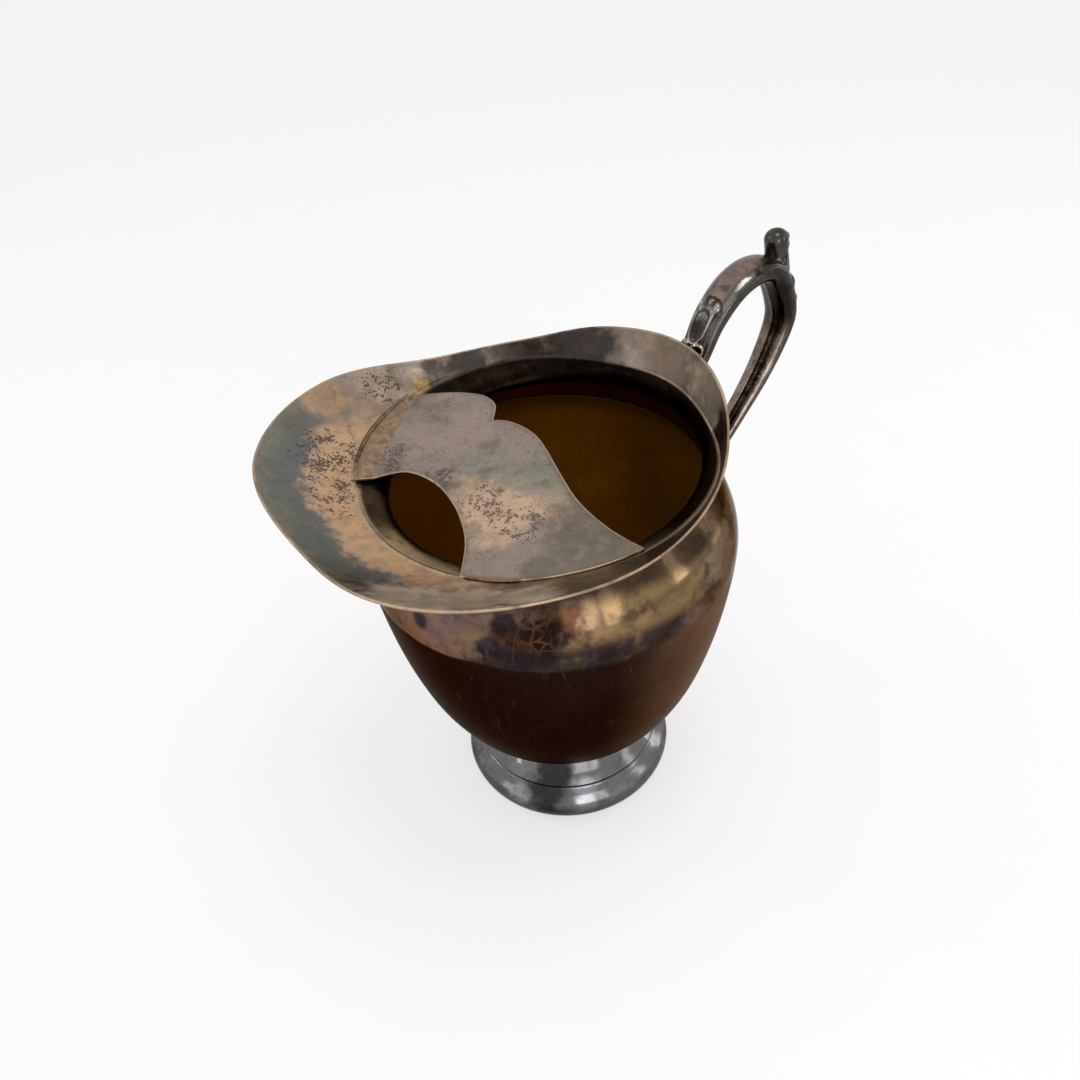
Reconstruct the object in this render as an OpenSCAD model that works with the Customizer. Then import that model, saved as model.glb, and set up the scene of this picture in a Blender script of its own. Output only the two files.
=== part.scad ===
// Silver-plated water pitcher with an ice guard, in millimetres.
// The axis of the bowl is Z, the table is z = 0 and the spout points along +X.

/* [Bowl] */
// Radius of the belly at its widest
belly_r = 80; // [70:1:92]
// Rise from the foot to the widest place
belly_up = 106; // [92:1:114]
// Radius of the flat bottom of the bowl
bowl_base_r = 38; // [34:1:44]
// Step in from the belly to the shoulder's edge, inside
shoulder_in = 14; // [11:1:18]
// Rise from the widest place to the shoulder's edge
shoulder_up = 27; // [22:1:32]
// Thickness of the spun sheet
sheet = 1.8; // [1.2:0.1:2.6]

/* [Foot] */
// Height of the base moulding
moulding_h = 19.5; // [16:0.5:24]
// Height of the pedestal above the moulding, with its solder
pedestal_h = 17.5; // [14:0.5:22]
// Step out from the bowl's bottom to the widest place of the moulding
foot_out = 12.4; // [9:0.2:16]
// Step in from the bowl's bottom to the waist
waist_in_by = 4.5; // [3:0.5:7]
// Wall of the foot
foot_wall = 2.4; // [1.8:0.1:3.4]

/* [Neck] */
// Step in from the shoulder's edge to the throat at the back
throat_in = 2.5; // [1:0.5:4]
// Step out from the shoulder's edge to the bend of the lip, in front
bend_front_out = 12; // [9:1:15]
// Step out to the bend at the sides
bend_side_out = 11; // [8:1:14]
// Step out to the bend at the back
bend_back_out = 1; // [0.5:0.5:3]

/* [Lip] */
// Reach of the lip beyond its bend, in front of the spout
lip_front_w = 31; // [24:1:38]
// Reach of the lip at the corners of the spout
lip_corner_w = 36.5; // [30:0.5:44]
// Reach of the lip behind the corners
lip_flank_w = 26.5; // [20:0.5:32]
// Reach of the lip at the sides
lip_side_w = 8; // [6:1:12]
// Reach of the lip behind the sides
lip_rear_w = 2; // [1:0.5:5]
// Reach of the lip beside the handle
lip_quarter_w = 5; // [4:0.5:9]
// Reach of the lip at the back
lip_back_w = 6.5; // [4:0.5:10]
// Rise of the lip's edge above the guard, in front
lip_front_up = 6.5; // [4:0.5:12]
// Rise of the lip's edge at the corners
lip_corner_up = 12.5; // [8:0.5:18]
// Rise of the lip's edge behind the corners
lip_flank_up = 13.5; // [10:0.5:18]
// Rise of the lip's edge at the sides
lip_side_up = 7.5; // [6:0.5:12]
// Rise of the lip's edge at the back
lip_back_up = 20.5; // [16:0.5:26]
// Thickness of the lip's sheet
lip_sheet = 1.8; // [1.2:0.1:2.4]

/* [Guard] */
// Rise from the shoulder's edge to the guard's underside on the axis
guard_up = 14.5; // [12:0.5:18]
// Slope of the guard towards the spout, in degrees
guard_tilt_angle = 4.5; // [2:0.5:6]
// Thickness of the guard's sheet
guard_t = 1.4; // [1:0.1:2]
// Height of the turned-up flanges
flange_h = 2.8; // [2.2:0.2:4]
// Half the opening of the pour hole, in degrees around the axis
pour_angle = 30; // [24:1:36]
// Place of the guard's far end, in degrees from the spout
far_angle = 78; // [72:1:84]
// Place of the guard's near end, in degrees from the spout
near_angle = 81; // [74:1:86]

/* [Handle] */
// Reach of the handle's middle line beyond the belly
handle_out = 57; // [48:1:66]
// Rise of the middle line above the guard, at the top of the handle
handle_top_up = 39.5; // [34:0.5:48]
// Drop from the guard to the handle's upper joint on the neck
handle_upper_down = 3.5; // [2:0.5:5]
// Drop from the widest place to the handle's lower joint
handle_lower_down = 17; // [8:1:28]
// Width of the handle at its upper joint
upper_limb_w = 13.5; // [11:0.5:15]
// Width of the handle at its crown
crown_w = 18; // [15:0.5:20]
// Width of the handle at its lower joint
lower_limb_w = 9.5; // [8:0.5:12]
// Thickness of the handle from its middle line to its flat outer face
face_t = 4; // [3:0.2:5]
// Depth of the handle inside its middle line at the upper joint
upper_depth = 3.2; // [2.4:0.2:4]
// Depth of the handle inside its middle line at the crown
crown_depth = 6.5; // [4.5:0.5:8]
// Depth of the handle inside its middle line at the lower joint
lower_depth = 2.2; // [1.8:0.2:4]
// Radius of the upper pad
upper_pad_r = 7.5; // [7:0.5:8]
// Stand of the upper pad from the neck
upper_stand = 3.5; // [3:0.5:6]
// Radius of the lower pad
lower_pad_r = 7.5; // [6.5:0.5:9]
// Stand of the lower pad from the belly
lower_stand = 7; // [6.5:0.5:10]
// Height of the thumb rest
thumb_h = 15.5; // [12:0.5:20]
// Radius of the thumb rest at its foot
thumb_r = 6; // [5:0.2:7]
// Thickness of the applied leaves
leaf_t = 1.2; // [0.8:0.1:1.8]

/* [Joints] */
// Thickness of the solder in the round seams
seam = 0.6; // [0.4:0.1:1]
// Thickness of the solder under the handle's pads
pad_seam = 0.5; // [0.3:0.1:0.8]
// Gap beside fitted pieces
clearance = 0.25; // [0.15:0.05:0.4]

/* [Hidden] */
$fn = 96;
// Length that cuts run past what they cut
overrun = 4;
// Steps between key points of the spun outlines
spun_steps = 6;
// Bearings around the collar, and steps from throat to bend and from bend to edge
around = 72;
neck_steps = 4;
lip_steps = 3;
// Sides of the handle's section and rings along it
sides = 20;
rings = 56;
// Points along and across a leaf
leaf_rows = 14;
leaf_cols = 8;
// Rings under the thumb rest and points around it
thumb_rings = 4;
thumb_sides = 28;

// Radii, each from the one before it
shoulder_r = belly_r - shoulder_in;
foot_r = bowl_base_r + foot_out;
waist_r = bowl_base_r - waist_in_by;
throat_r = shoulder_r - throat_in;
bend_front_r = shoulder_r + bend_front_out;
bend_side_r = shoulder_r + bend_side_out;
bend_back_r = shoulder_r + bend_back_out;
handle_reach = belly_r + handle_out;
// Heights above the table
foot_h = moulding_h + pedestal_h;
belly_z = foot_h + belly_up;
shoulder_z = belly_z + shoulder_up;
guard_z = shoulder_z + guard_up;
lip_side_z = guard_z + lip_side_up;
lip_back_z = guard_z + lip_back_up;
handle_top_z = guard_z + handle_top_up;
handle_upper_z = guard_z - handle_upper_down;
handle_lower_z = belly_z - handle_lower_down;

// Smooth curves through key values
function mix(a, b, t) = a + (b - a) * t;
function unit(v) = v / norm(v);
function reversed(p) = [for (i = [len(p) - 1 : -1 : 0]) p[i]];
function between(a, b, c, d, t) =
    (2 * b + (c - a) * t + (2 * a - 5 * b + 4 * c - d) * t * t + (3 * b - a - 3 * c + d) * t * t * t) / 2;
function at_key(k, u) =
    let (n = len(k) - 1, i = min(floor(u), n - 1))
    between(k[max(i - 1, 0)], k[i], k[i + 1], k[min(i + 2, n)], u - i);
function smooth(k, steps) = [for (j = [0 : (len(k) - 1) * steps]) at_key(k, j / steps)];

// Points of an outline moved to its left, with the first and last points put where they are told
function left_of(p, i) =
    let (d = unit(p[min(i + 1, len(p) - 1)] - p[max(i - 1, 0)])) [-d[1], d[0]];
function moved(p, by) = [for (i = [0 : len(p) - 1]) p[i] + by * left_of(p, i)];
function with_ends(p, first, last) = [
    for (i = [0 : len(p) - 1]) i == 0 ? first : i == len(p) - 1 ? last : p[i]
];

// Bowl: outer outline from the edge of its flat bottom to the shoulder's edge
low_r_shares = [0.64, 0.8, 0.905, 0.975];
low_z_shares = [0.085, 0.29, 0.53, 0.79];
high_r_share = 0.66;
high_z_share = 0.58;
shoulder_out_r = shoulder_r + sheet;
bowl_out = smooth([
    [bowl_base_r, foot_h],
    for (i = [0 : 3]) [belly_r * low_r_shares[i], mix(foot_h, belly_z, low_z_shares[i])],
    [belly_r, belly_z],
    [mix(shoulder_out_r, belly_r, high_r_share), mix(belly_z, shoulder_z, high_z_share)],
    [shoulder_out_r, shoulder_z]
], spun_steps);
bowl_in = with_ends(moved(bowl_out, sheet), [bowl_base_r, foot_h + sheet], [shoulder_r, shoulder_z]);
bowl_last = len(bowl_out) - 1;
function bowl_radius(z, i = 0) =
    i == bowl_last - 1 || bowl_out[i + 1][1] >= z
    ? mix(bowl_out[i][0], bowl_out[i + 1][0], (z - bowl_out[i][1]) / (bowl_out[i + 1][1] - bowl_out[i][1]))
    : bowl_radius(z, i + 1);

// Foot: moulding below, waist above
moulding_r_shares = [0.905, 0.96, 0.99, 1, 0.965, 0.86];
moulding_z_shares = [0, 0.22, 0.48, 0.72, 0.91, 1];
moulding_out = smooth([for (i = [0 : 5])
    [foot_r * moulding_r_shares[i], moulding_h * moulding_z_shares[i]]], spun_steps);
step_share = 0.97;
pedestal_r = foot_r * moulding_r_shares[5] * step_share;
ledge_r = pedestal_r - foot_wall;
moulding_in = moved(moulding_out, foot_wall);
foot_top_r = bowl_base_r - foot_wall / 2;
foot_top_z = foot_h - seam;
waist_r_shares = [1, 0.72, 0.5, 0.33, 0.02, 0.1];
waist_z_shares = [0, 0.14, 0.32, 0.37, 0.68, 0.88];
waist_out = smooth([
    for (i = [0 : 5])
        [mix(waist_r, pedestal_r, waist_r_shares[i]), mix(moulding_h, foot_top_z, waist_z_shares[i])],
    [foot_top_r, foot_top_z]
], spun_steps);
waist_in = [for (p = waist_out) [p[0] - foot_wall, p[1]]];

// Collar: values at each sixth of the half turn, from the spout to the back
key_angle = 30;
function by_bearing(k, b) =
    let (a = abs(b), i = min(floor(a / key_angle), 5))
    between(k[abs(i - 1)], k[i], k[i + 1], k[i == 5 ? 5 : i + 2], a / key_angle - i);
lip_rise_shares = [0.2, 0.82];
bend_rear_share = 0.6;
bend_rs = [bend_front_r, bend_front_r, bend_front_r, bend_side_r,
    mix(bend_back_r, bend_side_r, bend_rear_share), bend_back_r, bend_back_r];
lip_ws = [lip_front_w, lip_corner_w, lip_flank_w, lip_side_w, lip_rear_w, lip_quarter_w, lip_back_w];
lip_rs = bend_rs + lip_ws;
lip_zs = [guard_z + lip_front_up, guard_z + lip_corner_up, guard_z + lip_flank_up, lip_side_z,
    mix(lip_side_z, lip_back_z, lip_rise_shares[0]), mix(lip_side_z, lip_back_z, lip_rise_shares[1]),
    lip_back_z];
collar_z = shoulder_z + seam;
throat_front_share = 0.15;
throat_back_share = 0.5;
function guard_plane(x) = guard_z - x * tan(guard_tilt_angle);
function lip_r(b) = by_bearing(lip_rs, b);
function lip_z(b) = by_bearing(lip_zs, b);
function bend_r(b) = by_bearing(bend_rs, b);
function bend_z(b) = guard_plane(bend_r(b) * cos(b));
function rearward(b) = (1 - cos(b)) / 2;
function throat_at(b) = [
    mix(shoulder_r, throat_r, rearward(b)),
    mix(collar_z, bend_z(b), mix(throat_front_share, throat_back_share, rearward(b)))
];
// Inside and outside outlines of the collar at a bearing, as radius and height
pull_share = 0.55;
function neck_point(b, t) =
    let (a = throat_at(b), c = [bend_r(b), bend_z(b)], q = [a[0], mix(a[1], c[1], pull_share)])
    (1 - t) * (1 - t) * a + 2 * t * (1 - t) * q + t * t * c;
function collar_in(b) = concat(
    [[shoulder_r, collar_z]],
    [for (j = [0 : neck_steps]) neck_point(b, j / neck_steps)],
    [for (j = [1 : lip_steps]) mix([bend_r(b), bend_z(b)], [lip_r(b), lip_z(b)], j / lip_steps)]
);
function collar_out(b) =
    let (q = moved(collar_in(b), -lip_sheet))
    with_ends(q, [shoulder_r + lip_sheet, collar_z], q[len(q) - 1]);
function turned(p, b) = [p[0] * cos(b), p[0] * sin(b), p[1]];

// Guard: outline in its own sloping plane, at the wall and along its two free edges
function at_wall(b, inset) =
    (bend_r(b) - inset) * [cos(b) / cos(guard_tilt_angle), sin(b)];
wall_steps = 12;
function wall_run(b0, b1, inset) = [for (j = [0 : wall_steps]) at_wall(mix(b0, b1, j / wall_steps), inset)];
edge_steps = 5;
far_x_shares = [0.06, -0.03, -0.055, -0.035];
far_y_shares = [-0.815, -0.69, -0.6, -0.5];
notch_x_share = 0.055;
notch_y_share = -0.4;
near_x_shares = [0, -0.026, -0.004, 0.095, 0.165, 0.188];
near_y_shares = [-0.32, -0.17, -0.02, 0.265, 0.5, 0.76];
pour_x_shares = [0.7, 0.615, 0.58, 0.6, 0.65, 0.735];
pour_y_shares = [-0.41, -0.33, -0.16, 0.02, 0.18, 0.345];
function in_guard(xs, ys) = [for (i = [0 : len(xs) - 1]) [xs[i], ys[i]] * bend_front_r];
notch = [notch_x_share, notch_y_share] * bend_front_r;
far_edge = smooth(concat([at_wall(-far_angle, clearance)], in_guard(far_x_shares, far_y_shares), [notch]),
    edge_steps);
near_edge = smooth(concat([notch], in_guard(near_x_shares, near_y_shares), [at_wall(near_angle, clearance)]),
    edge_steps);
pour_edge = smooth(concat([at_wall(-pour_angle, clearance)], in_guard(pour_x_shares, pour_y_shares),
    [at_wall(pour_angle, clearance)]), edge_steps);
guard_outline = concat(
    far_edge, near_edge,
    wall_run(near_angle, pour_angle, clearance), reversed(pour_edge),
    wall_run(-pour_angle, -far_angle, clearance)
);
flange_start_angle = 3;
flange_stop_angle = 2;
function flange_outline(b0, b1) =
    concat(wall_run(b0, b1, clearance), wall_run(b1, b0, clearance + guard_t));
// Solder behind a flange: a wedge between the flange and the lip
wedge_foot_share = 0.3;
wedge_top_share = 0.8;
wedge_fill_share = 0.85;
wedge_low = flange_h * wedge_foot_share;
wedge_high = flange_h * wedge_top_share;
function lip_slope(b) = (lip_r(b) - bend_r(b)) / (lip_z(b) - bend_z(b));
function wedge_row(b) =
    let (p = at_wall(b, clearance), q = at_wall(b, clearance - lip_slope(b) * wedge_high * wedge_fill_share))
    [[p[0], p[1], wedge_low], [p[0], p[1], wedge_high], [q[0], q[1], wedge_high]];
wedge_inset_angle = 8;

// Handle: middle line in the plane of the spout, as distance behind the axis and height
upper_wall_r = throat_r + lip_sheet;
upper_start = [upper_wall_r + upper_stand, handle_upper_z];
lower_end = [bowl_radius(handle_lower_z) + lower_stand, handle_lower_z];
rise_x_shares = [0.12, 0.225, 0.335, 0.515, 0.72, 0.89, 1];
rise_z_shares = [0.08, 0.34, 0.65, 0.91, 1, 0.9, 0.51];
fall_x_shares = [0.99, 0.78, 0.49, 0.2];
fall_z_shares = [0.655, 0.46, 0.28, 0.115];
bow_keys = concat(
    [upper_start],
    [for (i = [0 : 6]) [mix(upper_start[0], handle_reach, rise_x_shares[i]),
        mix(upper_start[1], handle_top_z, rise_z_shares[i])]],
    [for (i = [0 : 3]) [mix(lower_end[0], handle_reach, fall_x_shares[i]),
        mix(lower_end[1], handle_top_z, fall_z_shares[i])]],
    [lower_end]
);
bow_last = len(bow_keys) - 1;
dir_share = 0.002;
function bow(s) = at_key(bow_keys, s * bow_last);
function bow_rate(s) = (bow(min(s + dir_share, 1)) - bow(max(s - dir_share, 0))) / (2 * dir_share);
function bow_dir(s) = unit(bow_rate(s));
// Section: a flat outer face at the angle 90, with a round back that is deepest at the crown
face_power = 0.62;
back_power = 0.9;
side_power = 0.75;
function raised(v, power) = sign(v) * pow(abs(v), power);
crown_from_share = 0.4;
narrow_from_share = 0.5;
narrow_to_share = 0.95;
function eased(t) = (1 - cos(180 * min(max(t, 0), 1))) / 2;
function along_bow(s, first, middle, last) =
    s < crown_from_share
    ? mix(first, middle, eased(s / crown_from_share))
    : mix(middle, last, eased((s - narrow_from_share) / (narrow_to_share - narrow_from_share)));
function limb_w(s) = along_bow(s, upper_limb_w, crown_w, lower_limb_w);
function limb_depth(s) = along_bow(s, upper_depth, crown_depth, lower_depth);
function bow_point(s, a, off) =
    let (d = bow_dir(s), face = sin(a) >= 0,
        h = face ? (face_t + off) * raised(sin(a), face_power) : limb_depth(s) * raised(sin(a), back_power),
        q = bow(s) + [-d[1], d[0]] * h)
    [-q[0], (limb_w(s) / 2 + off) * raised(cos(a), face ? face_power : side_power), q[1]];

// Leaves: outlines in angle across the handle, and relief
leaf_reach_angle = 62;
upper_leaf_from_share = 0.13;
upper_leaf_to_share = 0.3;
upper_leaf_shares = [0.7, 0.9, 0.75, 0.72, 0.95, 0.7, 0.08];
back_leaf_from_share = 0.535;
back_leaf_to_share = 0.655;
back_leaf_shares = [0.7, 1, 0.8, 0.95, 0.6, 0.4, 0.1];
edge_share = 0.35;
bumps = 3;
function leaf_half(k, t) = leaf_reach_angle * at_key(k, t * (len(k) - 1));
function swell(t, waves) = waves == 0 ? 1 : (1 - cos(360 * waves * t)) / 2;
function leaf_off(t, c, waves) = clearance + leaf_t * mix(edge_share, 1, cos(90 * c) * swell(t, waves));
function leaf_row(s0, s1, k, t, waves) =
    let (s = mix(s0, s1, t), h = leaf_half(k, t))
    concat(
        [for (j = [0 : leaf_cols]) bow_point(s, 90 + h * (2 * j / leaf_cols - 1), clearance)],
        [for (j = [leaf_cols : -1 : 0])
            let (c = 2 * j / leaf_cols - 1) bow_point(s, 90 + h * c, leaf_off(t, c, waves))]
    );

// Thumb rest: rings on the handle's face, then rings up to its tip
thumb_at_share = 0.5;
thumb_lean_angle = 8;
thumb_half_angle = 42;
thumb_r_shares = [0.95, 0.87, 0.87, 0.9, 0.82, 0.45];
thumb_h_shares = [0.16, 0.34, 0.5, 0.66, 0.82, 0.96];
thumb_span = thumb_r / norm(bow_rate(thumb_at_share));
function thumb_foot(ring, j) =
    let (a = 360 * j / thumb_sides)
    bow_point(thumb_at_share + thumb_span * ring * cos(a), 90 - thumb_half_angle * ring * sin(a), clearance);
thumb_base = bow_point(thumb_at_share, 90, clearance);
thumb_axis = [sin(thumb_lean_angle), 0, cos(thumb_lean_angle)];
thumb_side = [-cos(thumb_lean_angle), 0, sin(thumb_lean_angle)];
function thumb_point(k, j) =
    let (a = 360 * j / thumb_sides, r = thumb_r * thumb_r_shares[k])
    thumb_base + thumb_axis * thumb_h * thumb_h_shares[k] + thumb_side * r * cos(a) + [0, r * sin(a), 0];

// Wall behind the pads: bowl, seam and the back of the collar, as one solid of revolution
function wall_outline(by) = concat(
    [[0, foot_h]], moved(bowl_out, -by), moved(collar_out(180), -by), [[0, lip_back_z + by]]
);

// Solids from rows of points
module ring_solid(rows) {
    m = len(rows[0]);
    n = len(rows);
    polyhedron([for (r = rows) each r], [
        for (i = [0 : n - 1]) for (j = [0 : m - 1])
            let (k = (i + 1) % n, l = (j + 1) % m)
            each [[i * m + j, k * m + l, k * m + j], [i * m + j, i * m + l, k * m + l]]
    ]);
}

module rod_solid(rows) {
    m = len(rows[0]);
    n = len(rows);
    polyhedron([for (r = rows) each r], concat(
        [[for (j = [m - 1 : -1 : 0]) j]],
        [for (i = [0 : n - 2]) for (j = [0 : m - 1])
            let (l = (j + 1) % m)
            each [[i * m + j, (i + 1) * m + l, (i + 1) * m + j], [i * m + j, i * m + l, (i + 1) * m + l]]],
        [[for (j = [0 : m - 1]) (n - 1) * m + j]]
    ));
}

module tipped_solid(first, rows, last) {
    m = len(rows[0]);
    n = len(rows);
    polyhedron(concat([for (r = rows) each r], [first, last]), concat(
        [for (j = [0 : m - 1]) [n * m, (j + 1) % m, j]],
        [for (i = [0 : n - 2]) for (j = [0 : m - 1])
            let (l = (j + 1) % m)
            each [[i * m + j, (i + 1) * m + l, (i + 1) * m + j], [i * m + j, i * m + l, (i + 1) * m + l]]],
        [for (j = [0 : m - 1]) [n * m + 1, (n - 1) * m + j, (n - 1) * m + (j + 1) % m]]
    ));
}

module round_seam(r_in, r_out, z) {
    translate([0, 0, z])
        difference() {
            cylinder(r = r_out, h = seam);
            translate([0, 0, -overrun])
                cylinder(r = r_in, h = seam + 2 * overrun);
        }
}

module in_guard_plane() {
    translate([0, 0, guard_z])
        rotate([0, guard_tilt_angle, 0])
            children();
}

module wall_body(by) {
    rotate_extrude()
        polygon(wall_outline(by));
}

module pad_rod(p, d, r, stand) {
    translate([-p[0], 0, p[1]])
        rotate([0, atan2(-d[0], d[1]), 0])
            cylinder(r = r, h = 2 * stand + r);
}

module upper_rod() {
    pad_rod(upper_start, -bow_dir(0), upper_pad_r, upper_stand);
}

module lower_rod() {
    pad_rod(lower_end, bow_dir(1), lower_pad_r, lower_stand);
}

// Pieces
module body_shell() {
    color("silver")
        rotate_extrude()
            polygon(concat([[0, foot_h]], bowl_out, reversed(bowl_in), [[0, foot_h + sheet]]));
}

module spout_collar() {
    color("gainsboro")
        ring_solid([for (i = [0 : around - 1])
            let (b = 360 * i / around - 180)
            [for (p = concat(collar_in(b), reversed(collar_out(b)))) turned(p, b)]
        ]);
}

module neck_solder() {
    color("goldenrod")
        round_seam(shoulder_r, shoulder_r + min(sheet, lip_sheet), shoulder_z);
}

module ice_guard() {
    color("lightgray")
        in_guard_plane() {
            linear_extrude(height = guard_t)
                polygon(guard_outline);
            linear_extrude(height = flange_h)
                polygon(flange_outline(pour_angle + flange_start_angle, near_angle - flange_stop_angle));
            linear_extrude(height = flange_h)
                polygon(flange_outline(-far_angle + flange_stop_angle, -pour_angle - flange_start_angle));
        }
}

module guard_wedge(b0, b1) {
    color("goldenrod")
        in_guard_plane()
            rod_solid([for (j = [0 : wall_steps]) wedge_row(mix(b0, b1, j / wall_steps))]);
}

module guard_solder_far() {
    guard_wedge(-far_angle + wedge_inset_angle, -pour_angle - wedge_inset_angle);
}

module guard_solder_near() {
    guard_wedge(pour_angle + wedge_inset_angle, near_angle - wedge_inset_angle);
}

module foot_moulding() {
    color("lightsteelblue")
        rotate_extrude()
            polygon(concat(
                moulding_out, [[ledge_r, moulding_h], [ledge_r, moulding_h - foot_wall]],
                reversed(with_ends(moulding_in, [moulding_out[0][0] - foot_wall, 0],
                    moulding_in[len(moulding_in) - 1]))
            ));
}

module foot_pedestal() {
    color("steelblue")
        rotate_extrude()
            polygon(concat(waist_out, reversed(waist_in)));
}

module foot_solder() {
    color("goldenrod")
        round_seam(foot_top_r - foot_wall, foot_top_r, foot_top_z);
}

module handle_bow() {
    color("slategray")
        rod_solid([for (i = [0 : rings])
            [for (j = [0 : sides - 1]) bow_point(i / rings, 360 * j / sides, 0)]]);
}

module thumb_rest() {
    color("dimgray")
        tipped_solid(
            thumb_base,
            concat(
                [for (i = [1 : thumb_rings])
                    [for (j = [0 : thumb_sides - 1]) thumb_foot(i / thumb_rings, j)]],
                [for (k = [0 : len(thumb_r_shares) - 1])
                    [for (j = [0 : thumb_sides - 1]) thumb_point(k, j)]]
            ),
            thumb_base + thumb_axis * thumb_h
        );
}

module upper_leaf() {
    color("lightslategray")
        rod_solid([for (i = [0 : leaf_rows])
            leaf_row(upper_leaf_from_share, upper_leaf_to_share, upper_leaf_shares, i / leaf_rows, 0)]);
}

module back_leaf() {
    color("lightslategray")
        rod_solid([for (i = [0 : leaf_rows])
            leaf_row(back_leaf_from_share, back_leaf_to_share, back_leaf_shares, i / leaf_rows, bumps)]);
}

module upper_pad() {
    color("slategray")
        difference() {
            upper_rod();
            wall_body(pad_seam);
        }
}

module lower_pad() {
    color("slategray")
        difference() {
            lower_rod();
            wall_body(pad_seam);
        }
}

module upper_handle_solder() {
    color("goldenrod")
        difference() {
            intersection() {
                upper_rod();
                wall_body(pad_seam);
            }
            wall_body(0);
        }
}

module lower_handle_solder() {
    color("goldenrod")
        difference() {
            intersection() {
                lower_rod();
                wall_body(pad_seam);
            }
            wall_body(0);
        }
}

body_shell();
spout_collar();
neck_solder();
ice_guard();
guard_solder_far();
guard_solder_near();
foot_moulding();
foot_pedestal();
foot_solder();
handle_bow();
thumb_rest();
upper_leaf();
back_leaf();
upper_pad();
lower_pad();
upper_handle_solder();
lower_handle_solder();
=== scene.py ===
import bpy
import numpy as np
from mathutils import Matrix, Vector


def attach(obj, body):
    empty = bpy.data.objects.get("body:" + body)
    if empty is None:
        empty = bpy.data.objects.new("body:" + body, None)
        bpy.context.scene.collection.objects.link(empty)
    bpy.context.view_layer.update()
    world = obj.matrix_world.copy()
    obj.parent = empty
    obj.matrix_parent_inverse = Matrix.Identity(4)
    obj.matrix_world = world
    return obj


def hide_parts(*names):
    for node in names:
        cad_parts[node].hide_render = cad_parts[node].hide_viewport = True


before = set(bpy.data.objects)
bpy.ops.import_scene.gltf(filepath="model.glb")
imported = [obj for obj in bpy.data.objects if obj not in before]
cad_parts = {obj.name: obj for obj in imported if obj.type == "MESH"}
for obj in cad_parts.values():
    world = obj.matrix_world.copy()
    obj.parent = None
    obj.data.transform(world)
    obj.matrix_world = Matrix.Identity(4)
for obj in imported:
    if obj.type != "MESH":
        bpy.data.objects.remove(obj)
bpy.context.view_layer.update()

MM = 0.001

# Sizes are in millimetres, and angles given in plain numbers are in degrees
# Spun outlines, as radius and height
BOWL_KEYS = [(38, 37), (51.2, 46), (64, 67.7), (72.4, 93.2), (78, 120.7), (80, 143), (75.9, 158.7),
             (67.8, 170)]
BOWL_SHEET = 1.8
MOULDING_KEYS = [(45.6, 0), (48.8, 4), (50.4, 8.8), (50, 13), (47.4, 16.6), (43.6, 19.6)]
PEDESTAL_KEYS = [(43.9, 19.2), (41.5, 21.5), (39, 23.8), (36.8, 26.6), (34.6, 30.4), (34.6, 33.8),
                 (36.8, 36.4)]
FOOT_WALL = 2.4
FOOT_BEAD_H = 0.15
FOOT_BEAD_AT, FOOT_BEAD_W = 0.96, 0.03

# Collar, with a value at each 30 degrees from the spout to the back
KEY_ANGLE = 30
BEND_R = [78, 78, 78, 77, 73, 67, 67]
LIP_R = [109, 114.5, 104.5, 85, 75, 72, 73.5]
LIP_Z = [191, 197, 198, 192, 194.6, 202.7, 205]
SHOULDER_R = 66
COLLAR_Z = 170.6
THROAT_BACK_R = 63.5
THROAT_RISE = (0.15, 0.5)
NECK_PULL = 0.55
COLLAR_SHEET = 1.8
RIM_SHEET = 1.1
LIP_SAG = 0.045
BEAD_H = 0.4
BEAD_W = 0.75
BEAD_ENDS = (82, 104, 12, 40)
ROWS_CROWD = 1.7
EDGE_TURNS = np.radians([60, 30, 0, -30, -60])

# Guard, in its own sloping plane
GUARD_Z = 184.5
GUARD_SLOPE = np.radians(4.5)
GUARD_T = 1.2
GUARD_TOP = 0.2
FAR_ANGLE, NEAR_ANGLE, POUR_ANGLE = -78, 81, 30
NOTCH = (3.4, -32.5)
FAR_EDGE = [(3.8, -64.9), (-3.2, -55.1), (-5.2, -48.1), (-3.6, -40.3)]
NEAR_EDGE = [(-0.9, -26.3), (-2.9, -14.6), (-1.2, -2.9), (6.5, 19.4), (12, 37.7), (13.8, 58)]
POUR_EDGE = [(53.7, -33.3), (47.1, -27), (44.3, -13.8), (45.9, 0.3), (49.8, 12.7), (56.4, 25.6)]
NOTCH_SHARE = 0.4
POUR_SHARES = (0.36, 0.8)
FOLD_BEARINGS = [-82, -78, -68, -52, -36, -29, -20, 20, 29, 40, 60, 84]
FOLD_WIDTHS = [1.5, 1.5, 8.3, 11.8, 8.5, 7, 6, 2.5, 2.5, 3, 2.2, 1.2]
FLANGE_RISES = (1.9, 0.3)
GAP_BEARINGS = [-82, -30, 30, 42, 60, 78, 84]
GAP_WIDTHS = [0.15, 0.2, 0.2, 0.5, 1.9, 2, 1.2]
FAR_SOLDER, NEAR_SOLDER = (-76, -33, 0.7, FLANGE_RISES[0]), (31, 47, 0.5, FLANGE_RISES[1])
SOLDER_SET, SOLDER_SPREAD, SOLDER_SWELL = 0.7, 1.6, 0.4

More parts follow.
